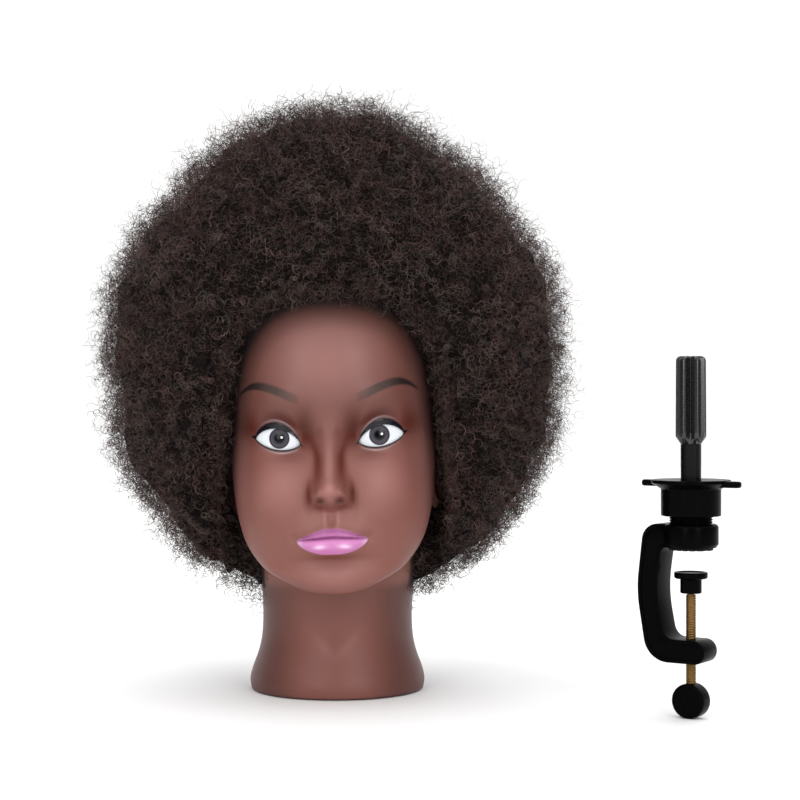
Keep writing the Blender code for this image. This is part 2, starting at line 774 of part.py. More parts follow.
def make_post(swivel):
    spigot_top = PLUG_TOP_Z - 0.0080
    profile = [
        (0.0, spigot_top),
        (PLUG_CORE_RADIUS - 0.0005, spigot_top),
        (PLUG_CORE_RADIUS, spigot_top - 0.0005),
        (PLUG_CORE_RADIUS, PLUG_Z),
        (STEM_RADIUS, PLUG_Z),
        (STEM_RADIUS, FOOT_TOP_Z),
        (FOOT_RADIUS, FOOT_TOP_Z),
        (FOOT_RADIUS, FOOT_Z),
        (0.0050, FOOT_Z),
        (0.0050, 0.1112),
        (0.0023, 0.1112),
        (0.0023, 0.1225),
        (0.0, 0.1225),
    ]
    add_part("swivel_post", turned(profile, MEDIUM), "black_plastic", swivel)
    screw = [
        (0.0, 0.1215),
        (0.0016, 0.1215),
        (0.0020, 0.1211),
        (0.0020, 0.1074),
        (0.0040, 0.1074),
        (0.0040, 0.1060),
        (0.0028, 0.1049),
        (0.0, 0.1049),
    ]
    add_part("retaining_screw", turned(screw, COARSE), "steel", swivel)


def plug_section(angle):
    """Radius of the fluted plug: round lands with round-bottomed grooves between them."""
    pitch = 2.0 * math.pi / PLUG_FLUTES
    share = abs((angle / pitch) % 1.0 - 0.5) * 2.0
    return PLUG_RADIUS - PLUG_FLUTE_RADIUS * max(0.0, math.cos(0.5 * math.pi * share / 0.62)) * (share < 0.62)


def make_plug(swivel):
    """Loft of fluted sections over the post's spigot, with a cone below and a rounded top."""
    columns = PLUG_FLUTES * 6
    levels = [(PLUG_Z + GAP, 0.0, STEM_RADIUS + 0.0002), (PLUG_CONE_Z, 0.85, PLUG_RADIUS)]
    levels += [(PLUG_CONE_Z + 0.0010, 1.0, PLUG_RADIUS)]
    for k in range(5):
        angle = math.radians(18.0 * k)
        inset = 0.0026 * (1.0 - math.cos(angle))
        levels.append((PLUG_TOP_Z - 0.0026 * (1.0 - math.sin(angle)), 1.0, PLUG_RADIUS - inset))
    work = bmesh.new()
    rows = []
    for z, flute, radius in levels:
        row = []
        for c in range(columns):
            angle = 2.0 * math.pi * c / columns
            drop = (PLUG_RADIUS - plug_section(angle)) * flute
            reach = radius - drop
            row.append(work.verts.new((reach * math.cos(angle), reach * math.sin(angle), z)))
        rows.append(row)
    for lower, upper in zip(rows, rows[1:]):
        for c in range(columns):
            n = (c + 1) % columns
            work.faces.new((lower[c], lower[n], upper[n], upper[c]))
    work.faces.new(rows[-1])
    work.faces.new(list(reversed(rows[0])))
    mesh = bpy.data.meshes.new("plug")
    work.to_mesh(mesh)
    work.free()
    plug = add_part("fluted_plug", mesh, "black_plastic", swivel)
    bore = rod(PLUG_CORE_RADIUS + GAP, PLUG_Z - 0.004, PLUG_TOP_Z - 0.0080 + GAP, MEDIUM)
    boolean(plug, add_cutter("plug_bore", bore, swivel))


def make_head():
    head = make_empty("head_place", (HEAD_X, HEAD_Y, 0.0))
    cutters = eye_cutters(head)
    make_head_shell(head, cutters)
    make_foam_core(head, cutters)
    make_neck_insert(head)
    make_eyes(head)
    make_hair(head)


def make_clamp():
    place = (CLAMP_X, CLAMP_Y, 0.0)
    pad = make_empty("pad_place", place, CLAMP_TURN)
    frame = make_empty("frame_place", place, CLAMP_TURN)
    screw = make_empty("screw_axis", place, CLAMP_TURN)
    ring_lift = make_empty("ring_lift", place, CLAMP_TURN)
    ring_axis = make_empty("ring_axis", place, CLAMP_TURN)
    post_axis = make_empty("post_axis", place, CLAMP_TURN)
    make_pressure_pad(pad)
    make_screw(screw)
    make_knob(screw)
    make_clamp_frame(frame)
    make_nut(frame)
    make_jaw_pad(frame)
    make_washers(frame, ring_lift)
    make_lock_ring(ring_axis)
    make_post(post_axis)
    make_plug(post_axis)


make_head()
make_clamp()
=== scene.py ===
"""Looks of the mannequin training head and its clamp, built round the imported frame."""

import math

import bmesh
import bpy
import numpy as np
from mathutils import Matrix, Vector


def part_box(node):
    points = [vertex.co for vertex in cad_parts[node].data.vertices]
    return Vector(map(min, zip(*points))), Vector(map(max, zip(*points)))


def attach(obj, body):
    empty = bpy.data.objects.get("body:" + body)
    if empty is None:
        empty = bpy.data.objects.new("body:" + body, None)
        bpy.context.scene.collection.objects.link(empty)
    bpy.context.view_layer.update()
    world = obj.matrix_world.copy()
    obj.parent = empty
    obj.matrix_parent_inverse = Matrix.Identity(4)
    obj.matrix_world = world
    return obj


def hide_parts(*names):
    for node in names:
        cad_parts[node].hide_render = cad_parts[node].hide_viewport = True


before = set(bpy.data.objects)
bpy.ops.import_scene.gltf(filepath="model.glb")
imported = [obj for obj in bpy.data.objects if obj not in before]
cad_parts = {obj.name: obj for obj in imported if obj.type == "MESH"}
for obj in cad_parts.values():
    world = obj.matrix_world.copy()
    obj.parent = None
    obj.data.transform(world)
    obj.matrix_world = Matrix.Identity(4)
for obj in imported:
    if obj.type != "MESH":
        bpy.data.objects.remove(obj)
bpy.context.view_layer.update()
SEED = 7
MM = 0.001

# Places from the frame.
PLATE_LOW, PLATE_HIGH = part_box("neck_base_plate")
NECK_Y = 12
HEAD_X = 0.5 * (PLATE_LOW.x + PLATE_HIGH.x)
HEAD_Y = 0.5 * (PLATE_LOW.y + PLATE_HIGH.y) - NECK_Y * MM
HEAD_PLACE = (HEAD_X, HEAD_Y, 0)

# Camera: level, in front of the head, a little to its left.
CAMERA_SIDE = 0.042
CAMERA_DISTANCE = 1.231
CAMERA_HEIGHT = 0.1934
LENS = 83.07

# Strength of the world behind the camera, behind the object and overhead.
WORLD_FRONT = 0.3
WORLD_BACK = 1.03
WORLD_TOP = 1.7

# The head is in millimetres from the floor and from its upright axis. Skull: height, half width,
# front, place of the widest point and back. Neck: height and radius.
SKULL = np.array([
    (69.5, 9, -76, -71, -67), (74.5, 20.5, -83, -69, -62), (80, 32, -86.5, -65, -55),
    (86, 42.5, -87, -58, -43), (93, 50, -85.5, -48, -25), (103, 57, -86.5, -36, 2),
    (115, 61.5, -88, -26, 40), (130, 65, -86.5, -14, 74), (150, 67.5, -84, -4, 93),
    (175, 69, -81.5, 4, 102), (200, 70, -87, 10, 104), (225, 69, -87, 13, 100),
    (250, 62, -76, 14, 86), (270, 48, -55, 14, 62), (282, 29, -28, 15, 40),
    (288, 10, 4, 15, 24),
])
NECK = np.array([
    (0, 57.5), (7, 58.5), (15, 56.7), (23, 53.7), (31, 51.5), (47, 50), (62, 50.4),
    (82, 51.8), (100, 52.2), (150, 46),
])
HEAD_TOP = 288
CROWN_Y = 14
LEAN = 0.037
LEAN_HEIGHT = 107
RIM_Z = 1
WALL = 3
WALL_HEIGHT = 5
WALL_ROWS = 5
SECTION_POWER = 2.3
BLEND = 9
COLUMNS = 320
ROWS = 300
FRONT_SHARE = 8
AXIS_Y = 6

# Eyes and mouth: distances from the face's middle, and heights.
EYE_IN = 18.5
EYE_OUT = 46.5
EYE_IN_Z = 166.4
EYE_RISE = 4.1
UPPER_LID = 7.7
LOWER_LID = 5.1
UPPER_ROW = 176.8
LOWER_ROW = 162.8
IRIS_X = 31.4
IRIS_Z = 170.4
LENS_X = 32
LENS_Z = 169.6
LENS_HALF = (16.5, 10.5)
LENS_BACK = -60
MOUTH_Z = 108.3
MOUTH_HALF = 22.3
LIP_TOP = 113.6
LIP_BOTTOM = 97.6

# Soft patches: strength, distance from the face's middle, width, height, height's width.
MOUNDS = [
    (2.4, 0, 5.4, 138.5, 5.5), (-1.5, 14.2, 2.2, 134, 8), (-4.6, 6.2, 2.5, 131.2, 2.1),
    (-0.7, 6.2, 2, 142, 4), (2.6, 0, 25, 107, 15), (-1.7, 22.8, 3.2, 108.3, 3.2),
    (-1.1, 0, 2.2, 119.5, 4.2), (0.8, 4, 1.6, 119, 4.6), (-2.4, 17, 6, 172, 9),
    (3.4, 40, 17, 142, 15), (3.4, 0, 14, 82, 9), (-1, 0, 16, 94, 3.4),
]
# Painted highlights on the forehead, the cheeks, the nose's bridge, the chin and above the upper lip.
HIGHLIGHT_PATCHES = [
    (1, 0, 33, 220, 24), (0.78, 34, 15, 143, 18), (0.62, 0, 5, 150, 30),
    (0.62, 0, 24, 84, 9), (0.434, 0, 24, 118, 12),
]
SHADOW_PATCHES = [(0.8, 50, 8, 178, 9), (0.35, 24, 9, 159, 4)]
NOSE_SHADOWS = [(0.9, 13.9, 2.5, 134, 8), (0.7, 7, 8, 127.5, 3)]


def column_value(table, z, column):
    """Catmull-Rom value of one column of a table at heights z."""
    heights, values = table[:, 0], table[:, column]
    z = np.clip(z, heights[0], heights[-1])
    i = np.clip(np.searchsorted(heights, z) - 1, 0, len(heights) - 2)
    slopes = np.gradient(values, heights)
    span = heights[i + 1] - heights[i]
    t = (z - heights[i]) / span
    return (
        values[i] * (2 * t**3 - 3 * t**2 + 1)
        + values[i + 1] * (3 * t**2 - 2 * t**3)
        + slopes[i] * span * (t**3 - 2 * t**2 + t)
        + slopes[i + 1] * span * (t**3 - t**2)
    )


def bell(distance, width):
    return np.exp(-((distance / width) ** 2))


def clamp(t):
    return np.clip(t, 0, 1)


def ease(t):
    """Smooth step from 0 to 1."""
    t = clamp(t)
    return t * t * (3 - 2 * t)


def circle(count):
    """Angles all round, evenly spaced."""
    return 2 * np.pi * np.arange(count) / count


def patch(across, z, row):
    """One soft patch of a table, at distances across the face and heights z."""
    strength, place, width, height, tall = row
    return strength * bell(across - place, width) * bell(z - height, tall)


def strongest(across, z, rows):
    return np.maximum.reduce([patch(across, z, row) for row in rows])


def split_bell(z, middle, above, below):
    """Bell with its own width above and below its middle."""
    return bell(z - middle, np.where(z > middle, above, below))


def smooth_low(a, b, width):
    """Smooth minimum of two fields."""
    mix = clamp(0.5 + 0.5 * (b - a) / width)
    return b + (a - b) * mix - width * mix * (1 - mix)


def outside_head(x, y, z):
    """Distance-like value of the plain head: skull and face joined smoothly to the neck."""
    half, front, widest, back = (column_value(SKULL, z, column) for column in (1, 2, 3, 4))
    reach = np.where(y < widest, widest - front, back - widest)
    norm = np.abs(x / half) ** SECTION_POWER + np.abs((y - widest) / reach) ** SECTION_POWER
    skull = (norm ** (1 / SECTION_POWER) - 1) * np.minimum(half, reach)
    skull = np.maximum(skull, np.maximum(SKULL[0, 0] - z, z - SKULL[-1, 0]))
    neck = np.hypot(x, y - NECK_Y) - column_value(NECK, z, 1)
    neck = np.maximum(neck, z - NECK[-1, 0])
    return smooth_low(skull, neck, BLEND)


def tilted(x, z):
    """The face leans a little to one side above the neck."""
    share = ease((z - 50) / 60)
    return x - LEAN * (z - LEAN_HEIGHT) * share, z + LEAN * x * share


def dip(height):
    """Slope of a section plane: planes through the jaw dip to the front."""
    return 0.5 * np.sin(np.pi * clamp((height - 20) / 130)) ** 2


def row_heights():
    """Heights of the rows on the skull's axis, closer together at the mouth and the eyes."""
    fine = np.linspace(RIM_Z, HEAD_TOP, 4000)
    front = fine + dip(fine) * (-88 - AXIS_Y)
    density = 0.55 + 1.5 * bell(front - 108, 16) + 1.5 * bell(front - 170, 17)
    density += 0.7 * bell(front - 140, 18) + 1.1 * bell(front - 200, 8)
    stretch = np.gradient(front, fine)
    total = np.cumsum(density * np.clip(stretch, 0.35, 3))
    return np.interp(np.linspace(total[0], total[-1], ROWS + 1), total, fine)[:-1]


def column_angles():
    """Angles of the columns from the front, closer together over the face."""
    fine = np.linspace(-np.pi, np.pi, 4001)
    density = 1 + FRONT_SHARE * ease((np.radians(66) - np.abs(fine)) / np.radians(22))
    total = np.cumsum(density)
    total = (total - total[2000]) / (total[-1] - total[0])
    return np.interp((np.arange(COLUMNS) - COLUMNS // 2) / COLUMNS, total, fine)


def find_surface(angle, height, shift):
    """Points where rays from the axis leave the plain head. shift raises a ray's end."""
    east, north = np.sin(angle), -np.cos(angle)
    slope = dip(height)
    low, high = np.zeros_like(angle), np.full_like(angle, 200)
    for _ in range(34):
        reach = 0.5 * (low + high)
        y, z = AXIS_Y + reach * north, height + slope * reach * north + shift
        inside = outside_head(reach * east, y, z) < 0
        low = np.where(inside, reach, low)
        high = np.where(inside, high, reach)
    return low * east, AXIS_Y + low * north, height + slope * low * north + shift


def lid_lines(across):
    """Heights of the upper and lower lid margins at a distance across from the face's middle."""
    share = clamp((across - EYE_IN) / (EYE_OUT - EYE_IN))
    middle = EYE_IN_Z + EYE_RISE * share
    arch = 4 * share * (1 - share)
    return middle + UPPER_LID * arch**0.75 + 0.15, middle - LOWER_LID * arch**0.8 - 0.15


def lid_shift(across, z):
    """Moves rows near an eye so that two of them run along the lid margins."""
    upper, lower = lid_lines(across)
    fade = np.where(across < EYE_IN, bell(EYE_IN - across, 5), 1)
    fade = np.where(across > EYE_OUT, bell(across - EYE_OUT, 7), fade)
    rise, drop = fade * (upper - UPPER_ROW), fade * (lower - LOWER_ROW)
    inner = drop + (rise - drop) * clamp((z - LOWER_ROW) / (UPPER_ROW - LOWER_ROW))
    above = ease(1 - (z - UPPER_ROW) / 26)
    below = ease(1 - (LOWER_ROW - z) / 24)
    return inner * np.where(z > UPPER_ROW, above, np.where(z < LOWER_ROW, below, 1))


def eye_front(across, z):
    """Depth of an eyeball's front surface."""
    side = across - 32
    return -73.4 + side**2 / 34 + (z - 169.5) ** 2 / 30 + 0.2 * side


def lip_lines(across):
    """Heights of the upper border, the line between the lips and the lower border."""
    share = clamp(across / MOUTH_HALF)
    line = MOUTH_Z + 0.2 * bell(across, 6) - 1.7 * share**1.6
    bow = 0.5 * bell(across - 3.8, 3) - 0.35 * bell(across, 2.2)
    upper = line + (LIP_TOP - MOUTH_Z) * (1 - share**1.85) ** 0.95 + bow
    lower = line - (MOUTH_Z - LIP_BOTTOM) * (1 - share**2.1) ** 0.72
    return upper, line, lower


def lip_swell(away, thick, power, high, edge, soft):
    """Relief of one lip, by the distance away from the line between the lips."""
    share = away / np.maximum(thick, 0.4)
    swell = np.where(share < 1, np.sin(np.pi * clamp(share) ** power), 0)
    return high * swell + edge * bell(np.maximum(share - 1, 0) * thick, soft)


def mouth_relief(across, z):
    upper, line, lower = lip_lines(across)
    share = clamp(across / MOUTH_HALF)
    full = clamp(1 - share**2.4) ** 0.75
    top_lip = full * lip_swell(z - line, upper - line, 0.62, 3.3, 1.5, 2.6)
    low_lip = full * lip_swell(line - z, line - lower, 0.7, 4.6, 1.4, 2.4)
    crease = -1.2 * bell(z - line, 0.9) * ease((MOUTH_HALF + 2 - across) / 4)
    return np.where(z > line, top_lip, low_lip) + crease


# The nose from foot to root: height, depth of the ridge and its half width.
NOSE = np.array([
    (121, 0, 6), (124, 0.8, 6), (126.5, 6, 6.5), (130, 12.5, 7.6), (134, 17, 8.6), (138, 19, 8.8),
    (141, 19.2, 8.6), (146, 16.8, 7.8), (154, 12.2, 6.8), (163, 7.8, 6.4), (173, 3.2, 7), (188, 0, 9),
])


def nose_relief(across, z):
    """The ridge and the wings; the tip and the nostrils are among the mounds."""
    bridge = column_value(NOSE, z, 1) * np.exp(-np.abs(across / column_value(NOSE, z, 2)) ** 2.5)
    return bridge + 10.5 * bell(across - 8.8, 3.9) * split_bell(z, 135, 6.2, 6.4)


def face_relief(across, z):
    """Forward offset of everything on the front of the face but the lids."""
    relief = nose_relief(across, z) + mouth_relief(across, z)
    relief += sum(patch(across, z, row) for row in MOUNDS)
    sockets = -8 * bell(across - 27, 15.5) * split_bell(z, 171, 12.5, 14)
    brows = 2.4 * bell(z - (194 + 0.12 * across), 7.5) * bell(across - 32, 20)
    folds = -0.3 * bell(across - (21 + 0.45 * (130 - z)), 5) * bell(z - 120, 9)
    return relief + sockets + brows + folds


def head_surface():
    """Grid of head points."""
    angle, height = np.meshgrid(column_angles(), row_heights())
    x, y, z = find_surface(angle, height, np.zeros_like(angle))
    plain_z = z
    for _ in range(2):
        front = ease((-y - 25) / 20)
        x, y, z = find_surface(angle, height, front * lid_shift(np.abs(x), plain_z))
    across = np.abs(x)
    front = ease((-y - 28) / 18)
    y = y - front * face_relief(across, z)
    lids = eye_front(across, z) - 1.4
    near = (across > 8) & (across < 60) & (z > 146) & (z < 194) & (y < -25)
    y = np.where(near, smooth_low(y, lids, 1.6), y)
    upper, lower = lid_lines(across)
    opening = (plain_z < UPPER_ROW - 0.1) & (plain_z > LOWER_ROW + 0.1)
    opening &= (across > EYE_IN) & (across < EYE_OUT) & (y < -25) & (upper - lower > 1.4)
    y = np.where(opening, eye_front(across, z) + 3, y)
    return x, y, np.maximum(z, RIM_Z)


def srgb(red, green, blue):
    """Linear colour of an 8-bit screen colour."""
    value = np.array((red, green, blue)) / 255
    return np.where(value <= 0.04045, value / 12.92, ((value + 0.055) / 1.055) ** 2.4)


SKIN = srgb(124, 77, 68)
SKIN_HIGHLIGHT = srgb(150, 102, 96)
SKIN_RED = srgb(86, 31, 18)
SKIN_SHADE = srgb(84, 46, 40)
SKIN_DARK = srgb(48, 20, 17)
HAIR_SHADE = srgb(30, 22, 21)
LIP = srgb(198, 124, 178)
LIP_SHADE = srgb(112, 54, 94)
LIP_HIGHLIGHT = srgb(240, 205, 232)
LINER = srgb(18, 19, 28)
BROW = srgb(72, 60, 56)
BROW_DARK = srgb(38, 30, 30)
LID_HIGHLIGHT = srgb(196, 184, 190)
# Painted after the nose's shade: painted shade in the nostrils and in the fold under the lip, painted highlights
# on the tip and the ridges under the nose.
FACE_LIGHT_AND_SHADE = [
    (SKIN_DARK, (0.75, 6.2, 2.8, 131.4, 2.2)), (SKIN_HIGHLIGHT * 1.2, (0.7, 0, 4.6, 138.5, 3.6)),
    (SKIN_HIGHLIGHT * 1.25, (0.6, 4, 1.3, 119.5, 5)), (SKIN_RED, (0.6, 0, 19, 95.3, 2.6)),
]
# Brow: distance from the face's middle, height and half thickness.
BROW_LINE = np.array([
    (18.4, 194.2, 2.7), (25, 197, 3), (33, 200.5, 2.8),
    (41, 203.2, 2.5), (47, 203.6, 2), (52, 202, 1.3), (57, 198.4, 0.5),
])


def mixed(colour, other, amount):
    amount = clamp(amount)[..., None]
    return colour * (1 - amount) + other * amount


def layered(colour, *layers):
    """Paint (tint, amount) layers over a colour in turn."""
    for tint, amount in layers:
        colour = mixed(colour, tint, amount)
    return colour


def brow_amount(across, z):
    centre = column_value(BROW_LINE, across, 1)
    half = column_value(BROW_LINE, across, 2)
    start = ease((across - 16.6) / 3.6) * (0.65 + 0.35 * ease((across - 18) / 9))
    end = ease((57.5 - across) / 1.5)
    return start * end * ease((half + 0.7 - np.abs(z - centre)) / 1.4)


def hairline_depth(x, y, z):
    """How far a skin point is inside the hair, past the edge of the face."""
    past = past_edge(np.abs(x), z, hairline_half(z) + 1, EDGE_TOP - EDGE_MIDDLE)
    behind = ease((y + 14) / 12) * ease((z - 62) / 10)
    return np.maximum(past, -8 + 14 * behind * (np.abs(x) > 40))


def eye_paint(colour, rough, across, z, face):
    """Liner, wing, painted highlights along the lids' edges and the airbrushed shadow round an eye."""
    upper, lower = lid_lines(across)
    share = clamp((across - EYE_IN) / (EYE_OUT - EYE_IN))
    inner = 1.05 * bell(across - 15.5, 6.8) * split_bell(z, 173, 14, 9.5)
    crease = 1.05 * bell(z - (upper + 6.8), 5.2) * bell(across - 27, 18)
    shadow = np.maximum(np.maximum(inner, crease), strongest(across, z, SHADOW_PATCHES))
    colour = mixed(colour, SKIN_RED, face * shadow)
    thick = 1.5 + 2.5 * np.sin(np.pi * share**0.9) ** 0.8 + 1.5 * share
    band = ease((upper + thick - z) / 0.9) * ease((z - lower + 0.5) / 0.5)
    band *= (across > EYE_IN - 0.4) & (across < EYE_OUT)
    wing_z = EYE_IN_Z + EYE_RISE + 0.32 * (across - EYE_OUT)
    wing_half = 1.9 * clamp(1 - (across - EYE_OUT) / 4.2)
    wing = ease((wing_half - np.abs(z - wing_z - 0.8)) / 0.7) * (across >= EYE_OUT)
    tear_z = EYE_IN_Z + 0.75 * (across - EYE_IN)
    tear_half = 1.2 * clamp(1 - (EYE_IN - across) / 3.4)
    tear = ease((tear_half - np.abs(z - tear_z)) / 0.6) * (across <= EYE_IN)
    liner = face * np.maximum(np.maximum(band, wing), tear)
    along = ease((across - EYE_IN) / 2) * ease((EYE_OUT + 1 - across) / 2) * face
    # Painted highlights: a thin light line under the lower lid and an arc above the liner.
    low_lid_highlight = bell(z - lower + 1.9, 0.5) * bell(share - 0.4, 0.4)
    high_lid_highlight = bell(z - upper - thick - 0.7, 0.45) * bell(share - 0.4, 0.36)
    colour = layered(
        colour,
        (LID_HIGHLIGHT, 0.5 * along * low_lid_highlight),
        (LINER, 0.85 * along * bell(z - lower + 0.6, 0.6)),
        (LID_HIGHLIGHT, 0.62 * along * high_lid_highlight),
        (LINER, liner),
    )
    return colour, rough * (1 - liner) + 0.2 * liner


def lip_paint(colour, rough, across, z, face):
    top, line, bottom = lip_lines(across)
    lips = ease((top - z) / 0.7 + 0.5) * ease((z - bottom) / 0.7 + 0.5)
    lips *= face * ease((MOUTH_HALF - across) / 0.8 + 0.5)
    corner = 0.5 * ease((across - 9) / 12)
    # Painted shade: the upper lip darker, most towards the corners, and a dark line between the lips.
    lip_shade = np.maximum((0.4 + corner) * ease((z - line) / 1.5), 0.6 * bell(z - line, 0.6))
    # Painted highlights: the lips' corners and two spots on the lower lip.
    end = 0.4 * bell(across - MOUTH_HALF + 1, 2.6) * ease((line + 0.5 - z) / 1.5)
    shine = 0.9 * bell(across - 7.8, 3.6) * bell(z - line + 5.2, 1.3)
    layers = ((LIP, 1), (LIP_SHADE, lip_shade), (LIP_HIGHLIGHT, end), (LIP_HIGHLIGHT, shine))
    colour = layered(colour, *((tint, lips * amount) for tint, amount in layers))
    return colour, rough * (1 - lips) + 0.16 * lips


def head_paint(x, y, z):
    """Airbrushed colours with painted highlights and painted shade, and the roughness of each point of the head.
    """
    across = np.abs(x)
    face = ease((-y - 28) / 12)
    colour = np.broadcast_to(SKIN, x.shape + (3,))
    rough = np.full(x.shape, 0.44)
    # Painted shade down both sides of the nose.
    line = 7.2 + 5.3 * ease((z - 156) / 18) + 1.8 * ease((148 - z) / 9)
    nose_side_shade = 0.85 * bell(across - line, 2.8) * bell(z - 158, 18)
    # Painted light on the sides of the face.
    cheek_side_light = 0.75 * ease((across - 48) / 12) * ease((z - 92) / 14) * ease((20 - y) / 30)
    # Painted shade under the jaw and down the neck, more towards its sides.
    low = ease((76 - z) / 8) * (1 - face * ease((z - 70) / 4))
    # Painted highlight: a pale V at the bottom of the throat.
    throat_highlight = 0.3 * bell(across - 0.85 * (z - 25), 4) * bell(z - 34, 9) * (y < 0)
    brow = face * brow_amount(across, z)
    colour = layered(
        colour,
        (SKIN_HIGHLIGHT, face * strongest(across, z, HIGHLIGHT_PATCHES)),
        # Painted highlight on the middle of the forehead.
        (SKIN_HIGHLIGHT * 1.2, face * patch(across, z, (0.6, 0, 27, 221, 20))),
        (SKIN_RED, face * np.maximum(nose_side_shade, strongest(across, z, NOSE_SHADOWS))),
        *((tint, face * patch(across, z, row)) for tint, row in FACE_LIGHT_AND_SHADE),
        (SKIN_HIGHLIGHT, cheek_side_light),
        (SKIN_SHADE, low * (0.15 + 0.8 * ease((across - 16) / 30))),
        (SKIN_HIGHLIGHT, throat_highlight),
        (BROW, brow * (0.62 + 0.3 * ease((across - 20) / 14))),
        (BROW_DARK, brow * 0.85 * ease((across - 36) / 12)),
    )
    colour, rough = eye_paint(colour, rough, across, z, face)
    colour, rough = lip_paint(colour, rough, across, z, face)
    lean_x, lean_z = tilted(x, z)
    depth = hairline_depth(lean_x, y, lean_z)
    # Painted shadow of the hair on the temples and the top of the forehead.
    colour = mixed(colour, HAIR_SHADE, 0.66 * ease((depth + 18) / 22) * ease((z - 142) / 56))
    # Painted shade under the hair: the skin it covers, the neck behind the jaw too, near black.
    under_hair_shade = ease((depth + 1) / 6)
    colour = mixed(colour, HAIR_SHADE, under_hair_shade)
    return colour, rough * (1 - under_hair_shade) + 0.8 * under_hair_shade


def link_object(name, mesh):
    made = bpy.data.objects.new(name, mesh)
    bpy.context.scene.collection.objects.link(made)
    return made


def mesh_of(name, points, faces):
    mesh = bpy.data.meshes.new(name)
    mesh.from_pydata(points, [], faces)
    mesh.update()
    return mesh


def made_piece(name, points, faces, material, place=HEAD_PLACE):
    """Smooth object of points in millimetres, standing at a place."""
    mesh = mesh_of(name, points * MM, faces)
    mesh.shade_smooth()
    mesh.materials.append(material)
    piece = link_object(name, mesh)
    piece.location = place
    return piece


def grid_faces(rows, columns):
    """Quads of a grid of points stored row by row, its last column joined to the first."""
    row, column = np.meshgrid(np.arange(rows - 1), np.arange(columns), indexing="ij")
    low, high, after = row * columns, (row + 1) * columns, (column + 1) % columns
    return np.stack([low + column, low + after, high + after, high + column], axis=-1).reshape(-1, 4)


def add_paint(mesh, colours, rough):
    """Colour and roughness of each point."""
    values = np.column_stack([colours, np.ones(len(colours))]).astype(np.float32)
    layer = mesh.color_attributes.new("paint", "FLOAT_COLOR", "POINT")
    layer.data.foreach_set("color", values.ravel())
    layer = mesh.attributes.new("gloss", "FLOAT", "POINT")
    layer.data.foreach_set("value", rough.astype(np.float32))


def new_material(name):
    """Material with its node tree and its surface shader."""
    material = bpy.data.materials.new(name)
    material.use_nodes = True
    return material, material.node_tree, material.node_tree.nodes["Principled BSDF"]


def set_sockets(tree, node, sockets):
    """Give each input its value, or link it where the value is another node's output."""
    for name, value in sockets.items():
        if isinstance(value, bpy.types.NodeSocket):
            tree.links.new(value, node.inputs[name])
        else:
            node.inputs[name].default_value = value


def add_node(tree, kind, sockets=None, **settings):
    """Outputs of a new shader node."""
    node = tree.nodes.new("ShaderNode" + kind)
    for name, value in settings.items():
        setattr(node, name, value)
    set_sockets(tree, node, sockets or {})
    return node.outputs


def add_noise(tree, scale, detail, **more):
    """Noise fixed to the object."""
    where = add_node(tree, "TexCoord")["Object"]
    return add_node(tree, "TexNoise", {"Vector": where, "Scale": scale, "Detail": detail, **more})["Fac"]


def add_range(tree, value, low, high, start=0, end=1):
    """A value between start and end taken to one between low and high."""
    sockets = {"Value": value, "From Min": start, "From Max": end, "To Min": low, "To Max": high}
    return add_node(tree, "MapRange", sockets)["Result"]


def add_ramp(tree, value, stops):
    """Colour of a value, from (place, colour) stops in rising order."""
    ramp = tree.nodes.new("ShaderNodeValToRGB")
    elements = ramp.color_ramp.elements
    for number in (0, -1):
        elements[number].position = stops[number][0]
        elements[number].color = (*stops[number][1], 1)
    for place, colour in stops[1:-1]:
        elements.new(place).color = (*colour, 1)
    tree.links.new(value, ramp.inputs["Fac"])
    return ramp.outputs["Color"]


def add_scaled(tree, colour, factor):
    return add_node(tree, "VectorMath", {0: colour, "Scale": factor}, operation="SCALE")["Vector"]


def skin_material():
    material, tree, surface = new_material("soft_skin")
    paint = add_node(tree, "VertexColor", layer_name="paint")["Color"]
    vary = add_range(tree, add_noise(tree, 28, 3), 0.93, 1.07)
    pores = {"Height": add_noise(tree, 900, 2), "Strength": 0.06, "Distance": 0.0004}
    set_sockets(tree, surface, {
        "Base Color": add_scaled(tree, paint, vary),
        "Roughness": add_node(tree, "Attribute", attribute_name="gloss")["Fac"],
        "Normal": add_node(tree, "Bump", pores)["Normal"],
        "Specular IOR Level": 0.3,
    })
    return material


def make_head():
    """Skin with its crown closed and its wall turned in at the neck."""
    x, y, z = head_surface()
    colour, rough = head_paint(x, y, z)
    rows, columns = x.shape
    x, z = tilted(x, z)
    outer = np.stack([x, y, z], axis=-1).reshape(-1, 3)
    crown = len(outer)
    top_x, top_z = tilted(0, HEAD_TOP)
    away = outer[:columns, :2] - (0, NECK_Y)
    wall = away * (1 - WALL / np.linalg.norm(away, axis=1, keepdims=True)) + (0, NECK_Y)
    lift = np.repeat(np.linspace(0, WALL_HEIGHT, WALL_ROWS), columns)
    inner = np.column_stack([np.tile(wall, (WALL_ROWS, 1)), RIM_Z + lift])
    points = np.vstack([outer, [(top_x, CROWN_Y, top_z)], inner])
    here = np.arange(columns)
    after, last, start = (here + 1) % columns, (rows - 1) * columns, crown + 1
    faces = grid_faces(rows, columns).tolist()
    faces += np.column_stack([last + here, last + after, np.full(columns, crown)]).tolist()
    faces += np.column_stack([after, here, start + here, start + after]).tolist()
    faces += (grid_faces(WALL_ROWS, columns)[:, ::-1] + start).tolist()
    head = made_piece("head_skin", points, faces, skin_material())
    rest = len(points) - crown
    colour = np.vstack([colour.reshape(-1, 3), np.broadcast_to(SKIN, (rest, 3))])
    add_paint(head.data, colour, np.concatenate([rough.ravel(), np.full(rest, 0.5)]))
    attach(head, "head")
    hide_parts("head_shell", "foam_core")


